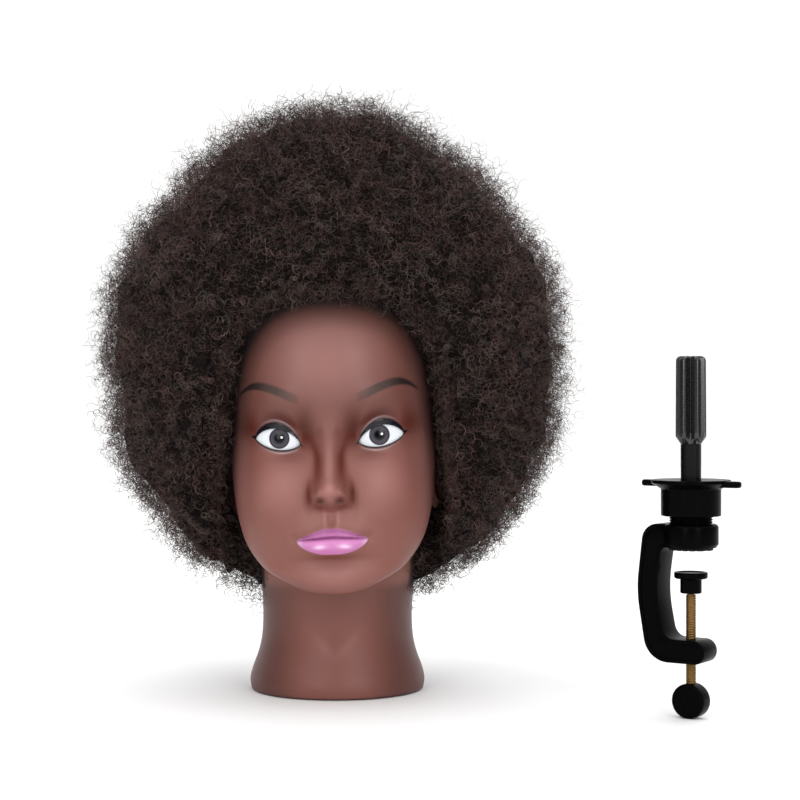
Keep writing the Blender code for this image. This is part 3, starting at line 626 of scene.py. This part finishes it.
def eye_material():
    """Pupil, iris and white by the distance from the iris's middle, and a painted glint."""
    material, tree, surface = new_material("painted_eye")
    place = add_node(tree, "SeparateXYZ", {"Vector": add_node(tree, "TexCoord")["Object"]})
    flat = add_node(tree, "CombineXYZ", {"X": place["X"], "Y": place["Z"]})["Vector"]
    reach = add_node(tree, "VectorMath", {0: flat}, operation="LENGTH")["Value"]
    centimetres = add_node(tree, "Math", {0: reach, 1: 100}, operation="MULTIPLY")["Value"]
    rings = add_ramp(tree, centimetres, [
        (0, srgb(3, 3, 4)), (0.26, srgb(4, 4, 5)), (0.31, srgb(46, 44, 49)), (0.45, srgb(72, 69, 76)),
        (0.55, srgb(66, 63, 69)), (0.6, srgb(26, 25, 30)), (0.63, srgb(70, 70, 76)),
        (0.68, srgb(226, 229, 236)), (1, srgb(232, 235, 240)),
    ])
    streaks = add_node(tree, "TexNoise", {"Vector": flat, "Scale": 2600})["Fac"]
    toned = add_scaled(tree, rings, add_range(tree, streaks, 0.8, 1.15, 0.3, 0.7))
    off = add_node(tree, "VectorMath", {0: flat, 1: (0.0016, 0.0006, 0)}, operation="DISTANCE")["Value"]
    glint = add_range(tree, off, 0, 1, 0.00085, 0.0006)
    final = add_node(tree, "Mix", {0: glint, 6: toned, 7: (0.95, 0.97, 1, 1)}, data_type="RGBA")[2]
    set_sockets(tree, surface, {"Base Color": final, "Roughness": 0.15, "Specular IOR Level": 0.15})
    return material


def make_eye(name, side, material, node):
    """A lens whose front fills the lids, with its origin at the middle of the iris."""
    rings, spokes = 26, 64
    radius = np.linspace(0, 1, rings)[1:, None]
    around = circle(spokes)
    across = LENS_X + radius * LENS_HALF[0] * np.cos(around)
    z = LENS_Z + radius * LENS_HALF[1] * np.sin(around)
    iris_y = eye_front(IRIS_X, IRIS_Z)
    points = [(LENS_X, eye_front(LENS_X, LENS_Z), LENS_Z)]
    points += list(zip(across.ravel(), eye_front(across, z).ravel(), z.ravel()))
    edge, back = 1 + (rings - 2) * spokes, len(points)
    points.append((LENS_X, LENS_BACK, LENS_Z))
    points = np.array(points) - (IRIS_X, iris_y, IRIS_Z)
    points[:, 0] *= side
    after = (np.arange(spokes) + 1) % spokes
    faces = [(0, 1 + s, 1 + after[s]) for s in range(spokes)]
    faces += (grid_faces(rings - 1, spokes)[:, [0, 3, 2, 1]] + 1).tolist()
    faces += [(edge + s, back, edge + after[s]) for s in range(spokes)]
    if side < 0:
        faces = [tuple(reversed(face)) for face in faces]
    iris_x, iris_z = tilted(side * IRIS_X, IRIS_Z)
    place = (HEAD_X + iris_x * MM, HEAD_Y + iris_y * MM, iris_z * MM)
    eye = made_piece(name, points, faces, material, place)
    eye.rotation_euler = (0, -math.atan(LEAN), 0)
    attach(eye, "head")
    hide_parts(node)


# Hair: half width, shift to one side, reach to the front, back, top and bottom.
HAIR_HALF = 155.5
HAIR_SHIFT = 2.5
HAIR_FRONT = 112
HAIR_BACK = 168
HAIR_TOP = 393
HAIR_BOTTOM = 48
HAIR_MIDDLE = 227
# Core: depth under the outline, depth of its clumps, size of its cells.
CORE_LEVEL = -12.5
CORE_LUMPS = 3.2
CORE_CELL = 5.0
# Edge of the hair round the face, and the free ball round each ear lobe.
EDGE_HALF = 66
EDGE_TOP = 249
EDGE_MIDDLE = 150
EDGE_POWER = 2.9
EDGE_NARROW = 5.5
LOBE = (70, -7, 130)
LOBE_ROOM = 13
FACE_BACK = -12
FRINGE = (4, 15)
STRAND_POINTS = 24
RADIAL_STRANDS = 19000
LYING_STRANDS = 13500
LOOSE_STRANDS = 3600
HAIR_PIECES = 10


def hair_ball(p):
    """Distance-like value of the afro's egg, negative inside."""
    x, y, z = p[..., 0] + HAIR_SHIFT, p[..., 1], p[..., 2] - HAIR_MIDDLE
    flat = np.hypot(x / HAIR_HALF, y / np.where(y < 0, HAIR_FRONT, HAIR_BACK))
    up = np.abs(z) / np.where(z > 0, HAIR_TOP - HAIR_MIDDLE, HAIR_MIDDLE - HAIR_BOTTOM)
    power = np.where(z > 0, 1.94, 2.1)
    norm = (flat**power + up**power) ** (1 / power)
    lumps = 2.6 * np.sin(x / 11 + 1 + y / 19) * np.sin(z / 12.5 + 0.6) * np.sin(y / 13 + 2 - z / 31)
    lumps += 1.8 * np.sin(x / 21 - z / 17 + 0.4) + 1.8 * np.sin(x / 9 + z / 8 + 2.2)
    lumps += 1.8 * np.sin(x / 34 + 0.7) * np.sin(z / 29 + 1.9) * np.cos(y / 37)
    lumps += patch(x, z, (5, -108, 26, 104, 26)) + patch(x, z, (3.5, 95, 30, 118, 30))
    return (norm - 1) * np.sqrt(x**2 + y**2 + z**2) / np.maximum(norm, 0.05) + lumps


def hairline_half(z):
    """Half width of the free face, less at the forehead."""
    return EDGE_HALF - EDGE_NARROW * ease((z - 140) / 40)


def past_edge(across, z, half, high):
    """Distance past the edge of the free face, half wide and high above its middle."""
    up = np.clip(z - EDGE_MIDDLE, 0, None) / high
    return (((across / half) ** EDGE_POWER + up**EDGE_POWER) ** (1 / EDGE_POWER) - 1) * half


def corridor(p):
    """Depth of a point in the free space before the face, negative in the hair."""
    x, y, z = np.moveaxis(p, -1, 0)
    x = np.abs(x)
    half = hairline_half(z) + 0.16 * np.clip(-20 - y, 0, None)
    high = EDGE_TOP - EDGE_MIDDLE + 0.3 * np.clip(-72 - y, 0, None)
    lobe = LOBE_ROOM - np.sqrt((x - LOBE[0]) ** 2 + (y - LOBE[1]) ** 2 + (z - LOBE[2]) ** 2)
    return np.maximum(np.minimum(-past_edge(x, z, half, high), FACE_BACK - y), lobe)


def hair_field(p):
    """The hair without the space before the face, negative inside."""
    return -smooth_low(-hair_ball(p), -corridor(p), 10)


def core_field(p):
    """The hair's field with clumps a few millimetres deep added."""
    x, y, z = np.moveaxis(p, -1, 0)
    clumps = np.sin(x / 3.1 + z / 5.3 + 0.7) * np.sin(z / 3.4 - y / 6.1 + 1.1) * np.sin(y / 3.7 + x / 7.9 + 0.3)
    clumps = clumps + 0.5 * np.sin(x / 5.6 - y / 4.4 + 2) * np.sin(z / 5.9 + x / 8.3 + 0.5)
    return hair_field(p) + CORE_LUMPS * clumps


def field_slope(field, p):
    """Unit gradient of a field."""
    moves = 0.5 * np.eye(3)
    return unit(np.stack([field(p + move) - field(p - move) for move in moves], axis=-1))


def core_surface():
    """Closed surface a little inside the hair, from the sides of full cells drawn onto the level."""
    low = np.array((-165, -120, 50))
    count = np.array((67, 60, 70))
    axes = [low[a] + CORE_CELL * (np.arange(count[a]) + 0.5) for a in range(3)]
    grid = np.stack(np.meshgrid(*axes, indexing="ij"), axis=-1)
    full = core_field(grid) < CORE_LEVEL
    full[0], full[-1] = False, False
    quads = []
    for axis in range(3):
        u, v = np.delete(np.eye(3, dtype=int), axis, axis=0)
        for way in (0, 1):
            corner = np.argwhere(full & ~np.roll(full, 1 - 2 * way, axis=axis))
            corner[:, axis] += way
            loop = [corner, corner + u, corner + u + v, corner + v]
            if (way == 0) == (axis != 1):
                loop.reverse()
            quads.append(np.stack(loop, axis=1))
    quads = np.concatenate(quads)
    keys = quads @ np.array((1, 1000, 1000000))
    unique, faces = np.unique(keys, return_inverse=True)
    faces = faces.reshape(keys.shape)
    points = low + CORE_CELL * np.stack([unique % 1000, unique // 1000 % 1000, unique // 1000000], axis=1)
    ends = np.concatenate([faces[:, [k, (k + 1) % 4]] for k in range(4)])
    for _ in range(6):
        total, share = np.zeros_like(points), np.zeros(len(points))
        for a, b in ((0, 1), (1, 0)):
            np.add.at(total, ends[:, a], points[ends[:, b]])
            np.add.at(share, ends[:, a], 1)
        points = 0.4 * points + 0.6 * total / share[:, None]
        off = (core_field(points) - CORE_LEVEL)[:, None]
        points = points - 0.7 * np.clip(off, -3, 3) * field_slope(core_field, points)
    return points, faces


def random_roots(rng, points, faces, count):
    """Random points on the core, and the ways out of the hair there."""
    corner = points[faces]
    area = np.linalg.norm(np.cross(corner[:, 2] - corner[:, 0], corner[:, 3] - corner[:, 1]), axis=1)
    picked = rng.choice(len(faces), size=count, p=area / area.sum())
    u, v = rng.random((2, count, 1))
    c = corner[picked]
    roots = (1 - v) * ((1 - u) * c[:, 0] + u * c[:, 1]) + v * (u * c[:, 2] + (1 - u) * c[:, 3])
    return roots, field_slope(hair_field, roots)


def unit(v):
    return v / np.maximum(np.linalg.norm(v, axis=-1, keepdims=True), 1e-9)


def curled(start, way, length, radius, pitch, bend, phase, stretch):
    """Kinky strands, one for each row: a bent path with a coil round it."""
    side = unit(np.cross(way, np.roll(way, 1, axis=1) + (0.31, 0.17, 0.05)))
    other = np.cross(way, side)
    start, way, bend, side, other = (v[:, None] for v in (start, way, bend, side, other))
    length, radius, pitch, phase, stretch = (v[:, None, None] for v in (length, radius, pitch, phase, stretch))
    t = np.linspace(0, 1, STRAND_POINTS)[None, :, None] * stretch
    turn = 2 * np.pi * length * t / pitch + phase
    wide = radius * np.minimum(t * 5, 1)
    path = start + way * (length * t) + bend * (length * t**2)
    return path + wide * (side * np.cos(turn) + other * np.sin(turn))


def strand_paths(rng, start, way, length, radii, pitches, limits):
    """Curled strands, each cut short where it would hang into the face."""
    count = len(start)
    radius, pitch, limit = (rng.uniform(*span, count) for span in (radii, pitches, limits))
    bend = 0.35 * rng.normal(size=(count, 3))
    phase = rng.random(count) * 2 * np.pi
    rows = (start, way, length, radius, pitch, bend, phase)
    paths = curled(*rows, np.ones(count))
    fringe = rng.uniform(*FRINGE, count)
    over = (corridor(paths) > limit[:, None]) | (hair_ball(paths) > fringe[:, None])
    first = np.where(over.any(axis=1), over.argmax(axis=1), STRAND_POINTS)
    keep = first > 3
    stretch = np.clip((first[keep] - 1) / (STRAND_POINTS - 1), 0.1, 1)
    return curled(*(row[keep] for row in rows), stretch)


def hair_strands(rng, points, faces):
    """Paths of the strands: rising from the core, lying round it, loose at the outline."""
    groups = []
    roots, out = random_roots(rng, points, faces, RADIAL_STRANDS)
    way = unit(out + 0.62 * rng.normal(size=out.shape))
    reach = -CORE_LEVEL + rng.normal(-1.5, 4, RADIAL_STRANDS)
    length = np.clip(reach / np.maximum((way * out).sum(axis=1), 0.45), 8, 30)
    groups.append((roots, way, length, (0.9, 2.4), (3.6, 6.2), (-3, 3.5)))
    roots, out = random_roots(rng, points, faces, LYING_STRANDS)
    roots = roots + out * rng.uniform(1, 11, (LYING_STRANDS, 1))
    way = unit(np.cross(out, rng.normal(size=out.shape)) + rng.uniform(0, 0.3, (LYING_STRANDS, 1)) * out)
    groups.append((roots, way, rng.uniform(12, 24, LYING_STRANDS), (1, 2.7), (3.8, 6.8), (-3, 5)))
    roots, out = random_roots(rng, points, faces, LOOSE_STRANDS)
    way = unit(out + 0.6 * rng.normal(size=out.shape))
    length = rng.uniform(9, 23, LOOSE_STRANDS)
    groups.append((roots + 5 * out, way, length, (1.2, 3), (4.2, 7.4), (-2, 4)))
    return np.concatenate([strand_paths(rng, *group) for group in groups])


def make_ribbons(rng, name, paths, widths, tint, material):
    """Flat ribbons along paths, with a map of tint across and root to tip along."""
    count, points = paths.shape[:2]
    along = np.gradient(paths, axis=1)
    flat = unit(np.cross(along, unit(rng.normal(size=(count, 1, 3)))))
    taper = np.interp(np.linspace(0, 1, points), [0, 0.7, 1], [1, 1, 0.35])
    half = 0.5 * widths[:, None, None] * taper[None, :, None] * flat
    verts = np.stack([paths - half, paths + half], axis=2).reshape(-1, 3)
    base = 2 * ((np.arange(count) * points)[:, None] + np.arange(points - 1))
    quads = np.stack([base, base + 1, base + 3, base + 2], axis=-1).reshape(-1, 4)
    piece = made_piece(name, verts, quads, material)
    uv = np.stack(np.broadcast_arrays(tint[:, None], np.linspace(0.01, 0.99, points)), axis=-1)
    uv = np.repeat(uv.reshape(-1, 2), 2, axis=0)
    piece.data.uv_layers.new(name="OFBake").data.foreach_set("uv", uv[quads.ravel()].ravel())
    return piece


# Warm browns up to 0.62, greyer ones from 0.66.
HAIR_TINTS = [
    (0, srgb(50, 33, 30)), (0.34, srgb(76, 52, 47)), (0.54, srgb(91, 65, 58)), (0.62, srgb(106, 82, 75)),
    (0.66, srgb(45, 36, 33)), (0.84, srgb(70, 60, 54)), (1, srgb(104, 94, 86)),
]


def hair_tints(rng, paths):
    """Places of the strands on the tint map: warm outside, greyer near the face."""
    middle = paths[:, paths.shape[1] // 2]
    near = bell(np.hypot(middle[:, 0], middle[:, 2] - 200), 105) * (middle[:, 1] < 20)
    cool = rng.random(len(paths)) < 0.15 + 0.6 * near
    x, y, z = middle.T
    clump = np.sin(x / 13 + 1 + z / 31) * np.sin(z / 15 + 2) + 0.6 * np.sin(x / 7 + z / 6 + y / 11)
    shade = np.clip(rng.beta(1.7, 2.8, len(paths)) + 0.11 * clump + 0.02, 0, 1)
    place = np.where(cool, 0.67 + 0.32 * shade, 0.63 * shade)
    return (np.floor(place * 48) + 0.5) / 48


def hair_material():
    """Tint by the map's first place; by its second, painted shade, darker towards the root deep in the afro."""
    material, tree, surface = new_material("curled_hair")
    place = add_node(tree, "SeparateXYZ", {"Vector": add_node(tree, "UVMap", uv_map="OFBake")["UV"]})
    colour = add_scaled(tree, add_ramp(tree, place["X"], HAIR_TINTS), add_range(tree, place["Y"], 0.35, 1, 0, 0.7))
    set_sockets(tree, surface, {"Base Color": colour, "Roughness": 0.5, "Specular IOR Level": 0.3})
    return material


def core_material():
    material, tree, surface = new_material("hair_depth_shade")
    # Near-black browns, darker than the strands: painted shade deep in the afro.
    noise = add_noise(tree, 420, 6, Roughness=0.8)
    set_sockets(tree, surface, {
        "Base Color": add_ramp(tree, noise, [(0.42, srgb(12, 9, 9)), (0.72, srgb(44, 34, 31))]),
        "Normal": add_node(tree, "Bump", {"Height": noise, "Distance": 0.003})["Normal"],
        "Roughness": 0.95,
        "Specular IOR Level": 0.1,
    })
    return material


def make_hair():
    rng = np.random.default_rng(SEED)
    points, faces = core_surface()
    pieces = [made_piece("hair_core", points, faces, core_material())]
    paths = hair_strands(rng, points, faces)
    tint = hair_tints(rng, paths)
    widths = rng.uniform(0.2, 0.34, len(paths))
    looks = hair_material()
    order = rng.permutation(len(paths))
    for number, part in enumerate(np.array_split(order, HAIR_PIECES)):
        pieces.append(make_ribbons(rng, f"curls_{number + 1}", paths[part], widths[part], tint[part], looks))
    for piece in pieces:
        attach(piece, "head")
        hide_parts("afro_hair")


EAR_CENTRE = (66, 10, 147)
EAR_HALF_DEPTH = 16
EAR_HALF_HEIGHT = 29
EAR_TURN = math.radians(24)


def make_ear(name, side):
    """A shell with a rim, an inner fold and a bowl, closed behind by a rounded back."""
    rings, spokes = 18, 56
    reach = np.linspace(0, 1, rings)[:, None] ** 0.9
    around = circle(spokes)
    narrow = 1 - 0.28 * ease(-np.sin(around))
    along = EAR_HALF_DEPTH * narrow * reach * np.cos(around)
    up = EAR_HALF_HEIGHT * reach * np.sin(around)
    lobe = ease((-up - 16) / 8)
    rim = 4.4 * bell(reach - 0.84, 0.13) * (1 - 0.6 * lobe)
    fold = 2.6 * bell(reach - 0.52, 0.1) * (1 - lobe) * ease(np.cos(around - 0.5) + 0.6)
    front = rim + fold + 2.2 * lobe - 2 * bell(reach, 0.3)
    front = front * (1 - reach**10)
    back = np.broadcast_to(-3.2 * np.sqrt(clamp(1 - reach**4)), front.shape)
    out = np.array((math.cos(EAR_TURN), -math.sin(EAR_TURN), 0))
    rear = np.array((math.sin(EAR_TURN), math.cos(EAR_TURN), 0))
    rise = np.array((0, 0.16, 0.987))
    flat = np.array(EAR_CENTRE) + along[..., None] * rear + up[..., None] * rise
    points = np.concatenate([(flat + front[..., None] * out)[:-1], (flat + back[..., None] * out)[::-1]])
    rows = len(points)
    points = points.reshape(-1, 3) * (side, 1, 1)
    points[:, 0], points[:, 2] = tilted(points[:, 0], points[:, 2])
    faces = grid_faces(rows, spokes)[:, ::side]
    ear = made_piece(name, points, faces, bpy.data.materials["soft_skin"])
    # Painted shade: darker where the ear's front lies low, in the bowl and beside the rim and fold.
    hollow = np.concatenate([front[:-1], np.full_like(back, 2)]).reshape(-1)
    add_paint(ear.data, mixed(SKIN_SHADE, SKIN, ease((hollow + 1) / 4)), np.full(len(points), 0.45))
    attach(ear, "head")
    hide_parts("head_shell")


SCREW_LOW, SCREW_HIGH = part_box("clamp_screw")
CLAMP_PLACE = (0.5 * (SCREW_LOW.x + SCREW_HIGH.x), 0.5 * (SCREW_LOW.y + SCREW_HIGH.y), 0)
CLAMP_TURN = math.radians(-34)
FRAME_HALF = 9.5
RIM_WIDTH = 2.2
RIM_HEIGHT = 0.7
PLUG_FLUTES = 8
PLUG_RADIUS = 9.5
CREASE_ANGLE = math.radians(38)


def softened(corners, pieces=5):
    """Points of an outline whose corners (a, b, radius) are rounded by arcs."""
    points = []
    for i, (a, b, radius) in enumerate(corners):
        here = Vector((a, b))
        if radius == 0:
            points.append((a, b))
            continue
        near = (corners[i - 1], corners[(i + 1) % len(corners)])
        ways = [(Vector(corner[:2]) - here).normalized() for corner in near]
        half = 0.5 * ways[0].angle(ways[1])
        centre = here + (ways[0] + ways[1]).normalized() * (radius / math.sin(half))
        first, last = ((here + way * (radius / math.tan(half)) - centre).normalized() for way in ways)
        for k in range(pieces + 1):
            points.append(tuple(centre + radius * first.slerp(last, k / pieces)))
    return points


def rounds(reach, z, around):
    """Points at a reach and height, with a row for each height and a column for each angle."""
    return np.stack(np.broadcast_arrays(reach * np.cos(around), reach * np.sin(around), z), axis=-1).reshape(-1, 3)


def capped(points, rows, segments):
    """Points and faces of a body of rings, closed below and above."""
    ring = np.arange(segments)
    faces = grid_faces(rows, segments).tolist()
    return points, faces + [ring[::-1].tolist(), ((rows - 1) * segments + ring).tolist()]


def turned(corners, segments=96, closed=False):
    """Points and faces of a profile (radius, height, rounding) turned about Z."""
    profile = np.array(softened(corners))
    around = circle(segments)
    points = rounds(profile[:, :1], profile[:, 1:], around)
    if not closed:
        return capped(points, len(profile), segments)
    faces = grid_faces(len(profile), segments).tolist()
    last = (len(profile) - 1) * segments
    faces += [(last + c, last + (c + 1) % segments, (c + 1) % segments, c) for c in range(segments)]
    return points, faces


def threaded(radius, depth, pitch, low, high, segments=40):
    """Points and faces of a rod with a thread cut round it."""
    rows = int((high - low) / pitch * 10) + 1
    z, around = np.linspace(low, high, rows)[:, None], circle(segments)
    phase = (z / pitch - around / (2 * np.pi)) % 1
    cut = depth * clamp(1.6 * np.abs(2 * phase - 1) - 0.3)
    end = ease(np.minimum(z - low, high - z) / (0.8 * pitch))
    return capped(rounds(radius - depth + (depth - cut) * end, z, around), rows, segments)


def slab(outlines, low, high, edge):
    """Points and faces of a flat shape raised from low to high, its edges rounded."""
    curve = bpy.data.curves.new("outline", "CURVE")
    curve.dimensions = "2D"
    curve.fill_mode = "BOTH"
    curve.extrude = 0.5 * (high - low) - edge
    curve.bevel_depth = edge
    curve.bevel_resolution = 2
    curve.offset = -edge
    for outline in outlines:
        spline = curve.splines.new("POLY")
        spline.points.add(len(outline) - 1)
        spline.points.foreach_set("co", [v for a, b in outline for v in (a, b, 0, 1)])
        spline.use_cyclic_u = True
    holder = link_object("outline", curve)
    bpy.context.view_layer.update()
    mesh = bpy.data.meshes.new_from_object(holder.evaluated_get(bpy.context.evaluated_depsgraph_get()))
    bpy.data.objects.remove(holder, do_unlink=True)
    work = bmesh.new()
    work.from_mesh(mesh)
    bmesh.ops.remove_doubles(work, verts=work.verts, dist=0.001)
    bmesh.ops.recalc_face_normals(work, faces=work.faces)
    points = np.array([v.co for v in work.verts]) + (0, 0, 0.5 * (low + high))
    faces = [[v.index for v in face.verts] for face in work.faces]
    work.free()
    bpy.data.meshes.remove(mesh)
    return points, faces


def upright(shape):
    """Stand a flat shape up: its Y becomes the height."""
    points, faces = shape
    return points[:, [0, 2, 1]], [face[::-1] for face in faces]


def clamp_piece(name, shapes, material, body, node):
    """One piece of the clamp out of several shapes, in millimetres from the foot of its screw."""
    points, faces = [], []
    for shape_points, shape_faces in shapes:
        start = sum(len(p) for p in points)
        points.append(shape_points)
        faces += [[v + start for v in face] for face in shape_faces]
    piece = made_piece(name, np.concatenate(points), faces, material, CLAMP_PLACE)
    piece.data.set_sharp_from_angle(angle=CREASE_ANGLE)
    piece.rotation_euler = (0, 0, CLAMP_TURN)
    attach(piece, body)
    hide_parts(node)


def frame_outline(edge):
    """The C of the frame in side view, drawn in by edge."""
    return softened([
        (2, 118 - edge, 0), (-27.5 + edge, 118 - edge, 10.5 - edge), (-32.2 + edge, 77, 80),
        (-25 + edge, 33.8 + edge, 16 - edge), (13 - edge, 33.8 + edge, 7 - edge),
        (13 - edge, 48.1 - edge, 7 - edge), (-13.5 - edge, 48.1 - edge, 8 + edge),
        (-19.2 - edge, 77, 80), (-15.5 - edge, 104 + edge, 5), (2, 104 + edge, 0),
    ], 10)


def make_frame(plastic):
    body = upright(slab([frame_outline(0.6)], RIM_HEIGHT - FRAME_HALF, FRAME_HALF - RIM_HEIGHT, 0.3))
    rim = upright(slab([frame_outline(0), frame_outline(RIM_WIDTH)[::-1]], -FRAME_HALF, FRAME_HALF, 0.5))
    boss = turned([
        (0.2, 103.8, 0), (15.2, 103.8, 0.5), (16.7, 106, 1.2), (16.7, 118.2, 2.4), (12.4, 118.2, 0),
    ])
    spigot = threaded(13.2, 0.7, 1.5, 117.6, 128, 64)
    clamp_piece("frame_body", [body, rim, boss, spigot], plastic, "frame", "clamp_frame")


def make_ring_and_knob(plastic):
    body = turned([
        (6.7, 144.5, 0.4), (6.7, 133.4, 0.4), (13.7, 133.4, 0.4), (13.7, 123, 0.5), (18.2, 123, 0.7),
        (18.25, 139.4, 1), (24.2, 142.9, 0.6), (24.2, 145, 0.7),
    ], closed=True)
    tabs = []
    for side in (-1, 1):
        root, tip = side * 18, side * 32.5
        corners = [(root, -4.6, 0), (tip, -3.6, 3.2), (tip, 3.6, 3.2), (root, 4.6, 0)]
        tabs.append(slab([softened(corners, 8)[::side]], 140.6, 144.5, 1.3))
    clamp_piece("ring_body", [body] + tabs, plastic, "ring", "lock_ring")
    points, faces = upright(turned([(0.2, -5.9, 0), (10.6, -5.9, 1.7), (10.6, 5.9, 1.7), (0.2, 5.9, 0)]))
    clamp_piece("knob_body", [(points + (0, 0, 10.6), faces)], plastic, "screw", "thumb_knob")


def make_plug(plastic):
    """Fluted plug: ribs with round backs and rounded tops over a cone."""
    columns = PLUG_FLUTES * 14
    levels = [(166.8, 0, 6.45), (168, 0.2, 7.3), (170.4, 0.75, 9), (171.4, 1, PLUG_RADIUS)]
    levels += [(z, 1, PLUG_RADIUS - 0.25 * (z - 171.4) / 46) for z in np.linspace(174, 217, 8)]
    for angle in np.linspace(0, 0.5 * np.pi, 8)[1:]:
        levels.append((217.2 + 2.9 * np.sin(angle), 1, PLUG_RADIUS - 0.25 - 2.9 * (1 - np.cos(angle))))
    z, flute, radius = np.array(levels).T[:, :, None]
    around = circle(columns)
    share = 2 * np.abs((around * PLUG_FLUTES / (2 * np.pi)) % 1 - 0.5)
    groove = 3.6 * clamp(np.cos(0.5 * np.pi * share / 0.68)) ** 0.8 * (share < 0.68)
    groove = groove + 2.8 * clamp(share - 0.68) ** 2
    body = capped(rounds(radius - flute * groove, z, around), len(levels), columns)
    clamp_piece("plug_body", [body], plastic, "post", "fluted_plug")


def make_pad_and_screw(plastic, metal):
    pad = turned([
        (0.2, 75.9, 0), (6.5, 75.9, 0.8), (6.5, 84.4, 0.6), (9.4, 84.9, 0.5), (10.15, 85.6, 0.4),
        (10.15, 88.8, 0.7), (8.4, 88.8, 0.3), (7.9, 88.2, 0.3), (0.2, 88.2, 0),
    ])
    clamp_piece("pad_body", [pad], plastic, "pad", "pressure_pad")
    rod = threaded(3.1, 0.26, 1.5, 8, 75)
    neck = turned([(0.2, 74, 0), (2.1, 74, 0), (2.1, 80, 0), (0.2, 80, 0)], 40)
    clamp_piece("screw_body", [rod, neck], metal, "screw", "clamp_screw")


def grained(name, colour, roughness, metallic, scale, depth, spread, shine=0.5):
    """Fine-grained material: colour and roughness vary by spread, the surface by depth."""
    material, tree, surface = new_material(name)
    noise = add_noise(tree, scale, 4)
    less, more = 1 - spread, 1 + spread
    set_sockets(tree, surface, {
        "Base Color": add_ramp(tree, noise, [(0.3, colour * less), (0.7, colour * more)]),
        "Roughness": add_range(tree, noise, roughness * less, roughness * more),
        "Normal": add_node(tree, "Bump", {"Height": noise, "Strength": 0.3, "Distance": depth})["Normal"],
        "Metallic": metallic,
        "Specular IOR Level": shine,
    })
    return material


def make_clamp():
    """Materials of the kept CAD nodes, and the pieces that replace the others."""
    plastic = grained("satin_black", srgb(3, 3, 3), 0.27, 0, 900, 0.00002, 0.15, 0.026)
    ribbed = grained("shiny_black", srgb(19, 19, 18), 0.22, 0, 350, 0.000005, 0.08, 0.6)
    smooth = grained("smooth_black", srgb(8, 8, 8), 0.28, 0, 900, 0.00001, 0.12, 0.14)
    metal = grained("dull_brass", srgb(114, 88, 52), 0.46, 1, 500, 0.00003, 0.2)
    rubber = grained("black_rubber", srgb(12, 12, 12), 0.75, 0, 700, 0.0001, 0.2, 0.2)
    insert = grained("grey_insert", srgb(44, 44, 46), 0.5, 0, 600, 0.0001, 0.15)
    steel = grained("bright_steel", srgb(176, 176, 178), 0.32, 1, 400, 0.00003, 0.12)
    nylon = grained("nylon", srgb(206, 202, 190), 0.6, 0, 500, 0.00005, 0.06)
    kept = dict(
        swivel_post=smooth, jaw_pad=rubber, neck_base_plate=insert, socket_tube=insert, screw_nut=steel,
        retaining_washer=steel, retaining_screw=steel, upper_friction_washer=nylon, lower_friction_washer=nylon,
    )
    for node, material in kept.items():
        for slot in bpy.data.objects[node].material_slots:
            slot.material = material
    make_frame(plastic)
    make_ring_and_knob(plastic)
    make_plug(ribbed)
    make_pad_and_screw(plastic, metal)


def make_floor():
    mesh = mesh_of("floor", [(-4, -3, 0), (4, -3, 0), (4, 4, 0), (-4, 4, 0)], [(0, 1, 2, 3)])
    material, tree, surface = new_material("pale_floor")
    set_sockets(tree, surface, {"Base Color": (0.92, 0.92, 0.92, 1), "Roughness": 0.7})
    mesh.materials.append(material)
    link_object("floor", mesh)


def make_camera():
    data = bpy.data.cameras.new("camera")
    data.lens = LENS
    data.sensor_width = 36
    data.clip_start = 0.05
    camera = link_object("camera", data)
    camera.location = (HEAD_X + CAMERA_SIDE, HEAD_Y - CAMERA_DISTANCE, CAMERA_HEIGHT)
    camera.rotation_euler = (math.radians(90), 0, 0)
    bpy.context.scene.camera = camera


def add_light(name, place, target, size, power):
    data = bpy.data.lights.new(name, "AREA")
    data.shape = "RECTANGLE"
    data.size, data.size_y = size
    data.energy = power
    light = link_object(name, data)
    light.location = place
    light.rotation_euler = (Vector(target) - Vector(place)).to_track_quat("-Z", "Y").to_euler()


def make_world():
    """White behind the object, dimmer behind the camera."""
    world = bpy.data.worlds.new("studio")
    bpy.context.scene.world = world
    world.use_nodes = True
    tree = world.node_tree
    way = add_node(tree, "SeparateXYZ", {"Vector": add_node(tree, "TexCoord")["Generated"]})
    level = add_range(tree, way["Y"], WORLD_FRONT, WORLD_BACK, 0.05, 0.8)
    above = add_range(tree, way["Z"], level, WORLD_TOP, 0.3, 0.85)
    set_sockets(tree, tree.nodes["Background"], {"Color": (1, 1, 1, 1), "Strength": above})


def make_lights():
    make_world()
    aim = (HEAD_X, HEAD_Y, 0.18)
    add_light("left_window", (-0.7, -1.45, 0.6), aim, (0.45, 0.8), 6)
    add_light("right_window", (0.66, -1.45, 0.6), aim, (0.45, 0.8), 6.9)
    add_light("top_panel", (0, 0.5, 1.7), (0, 0.3, 0), (2.4, 1.8), 6)
    bpy.context.scene.view_settings.view_transform = "Standard"


make_camera()
make_floor()
make_lights()
make_head()
EYE = eye_material()
make_eye("eye_right_side", -1, EYE, "right_eye")
make_eye("eye_left_side", 1, EYE, "left_eye")
make_ear("ear_right_side", -1)
make_ear("ear_left_side", 1)
make_hair()
make_clamp()
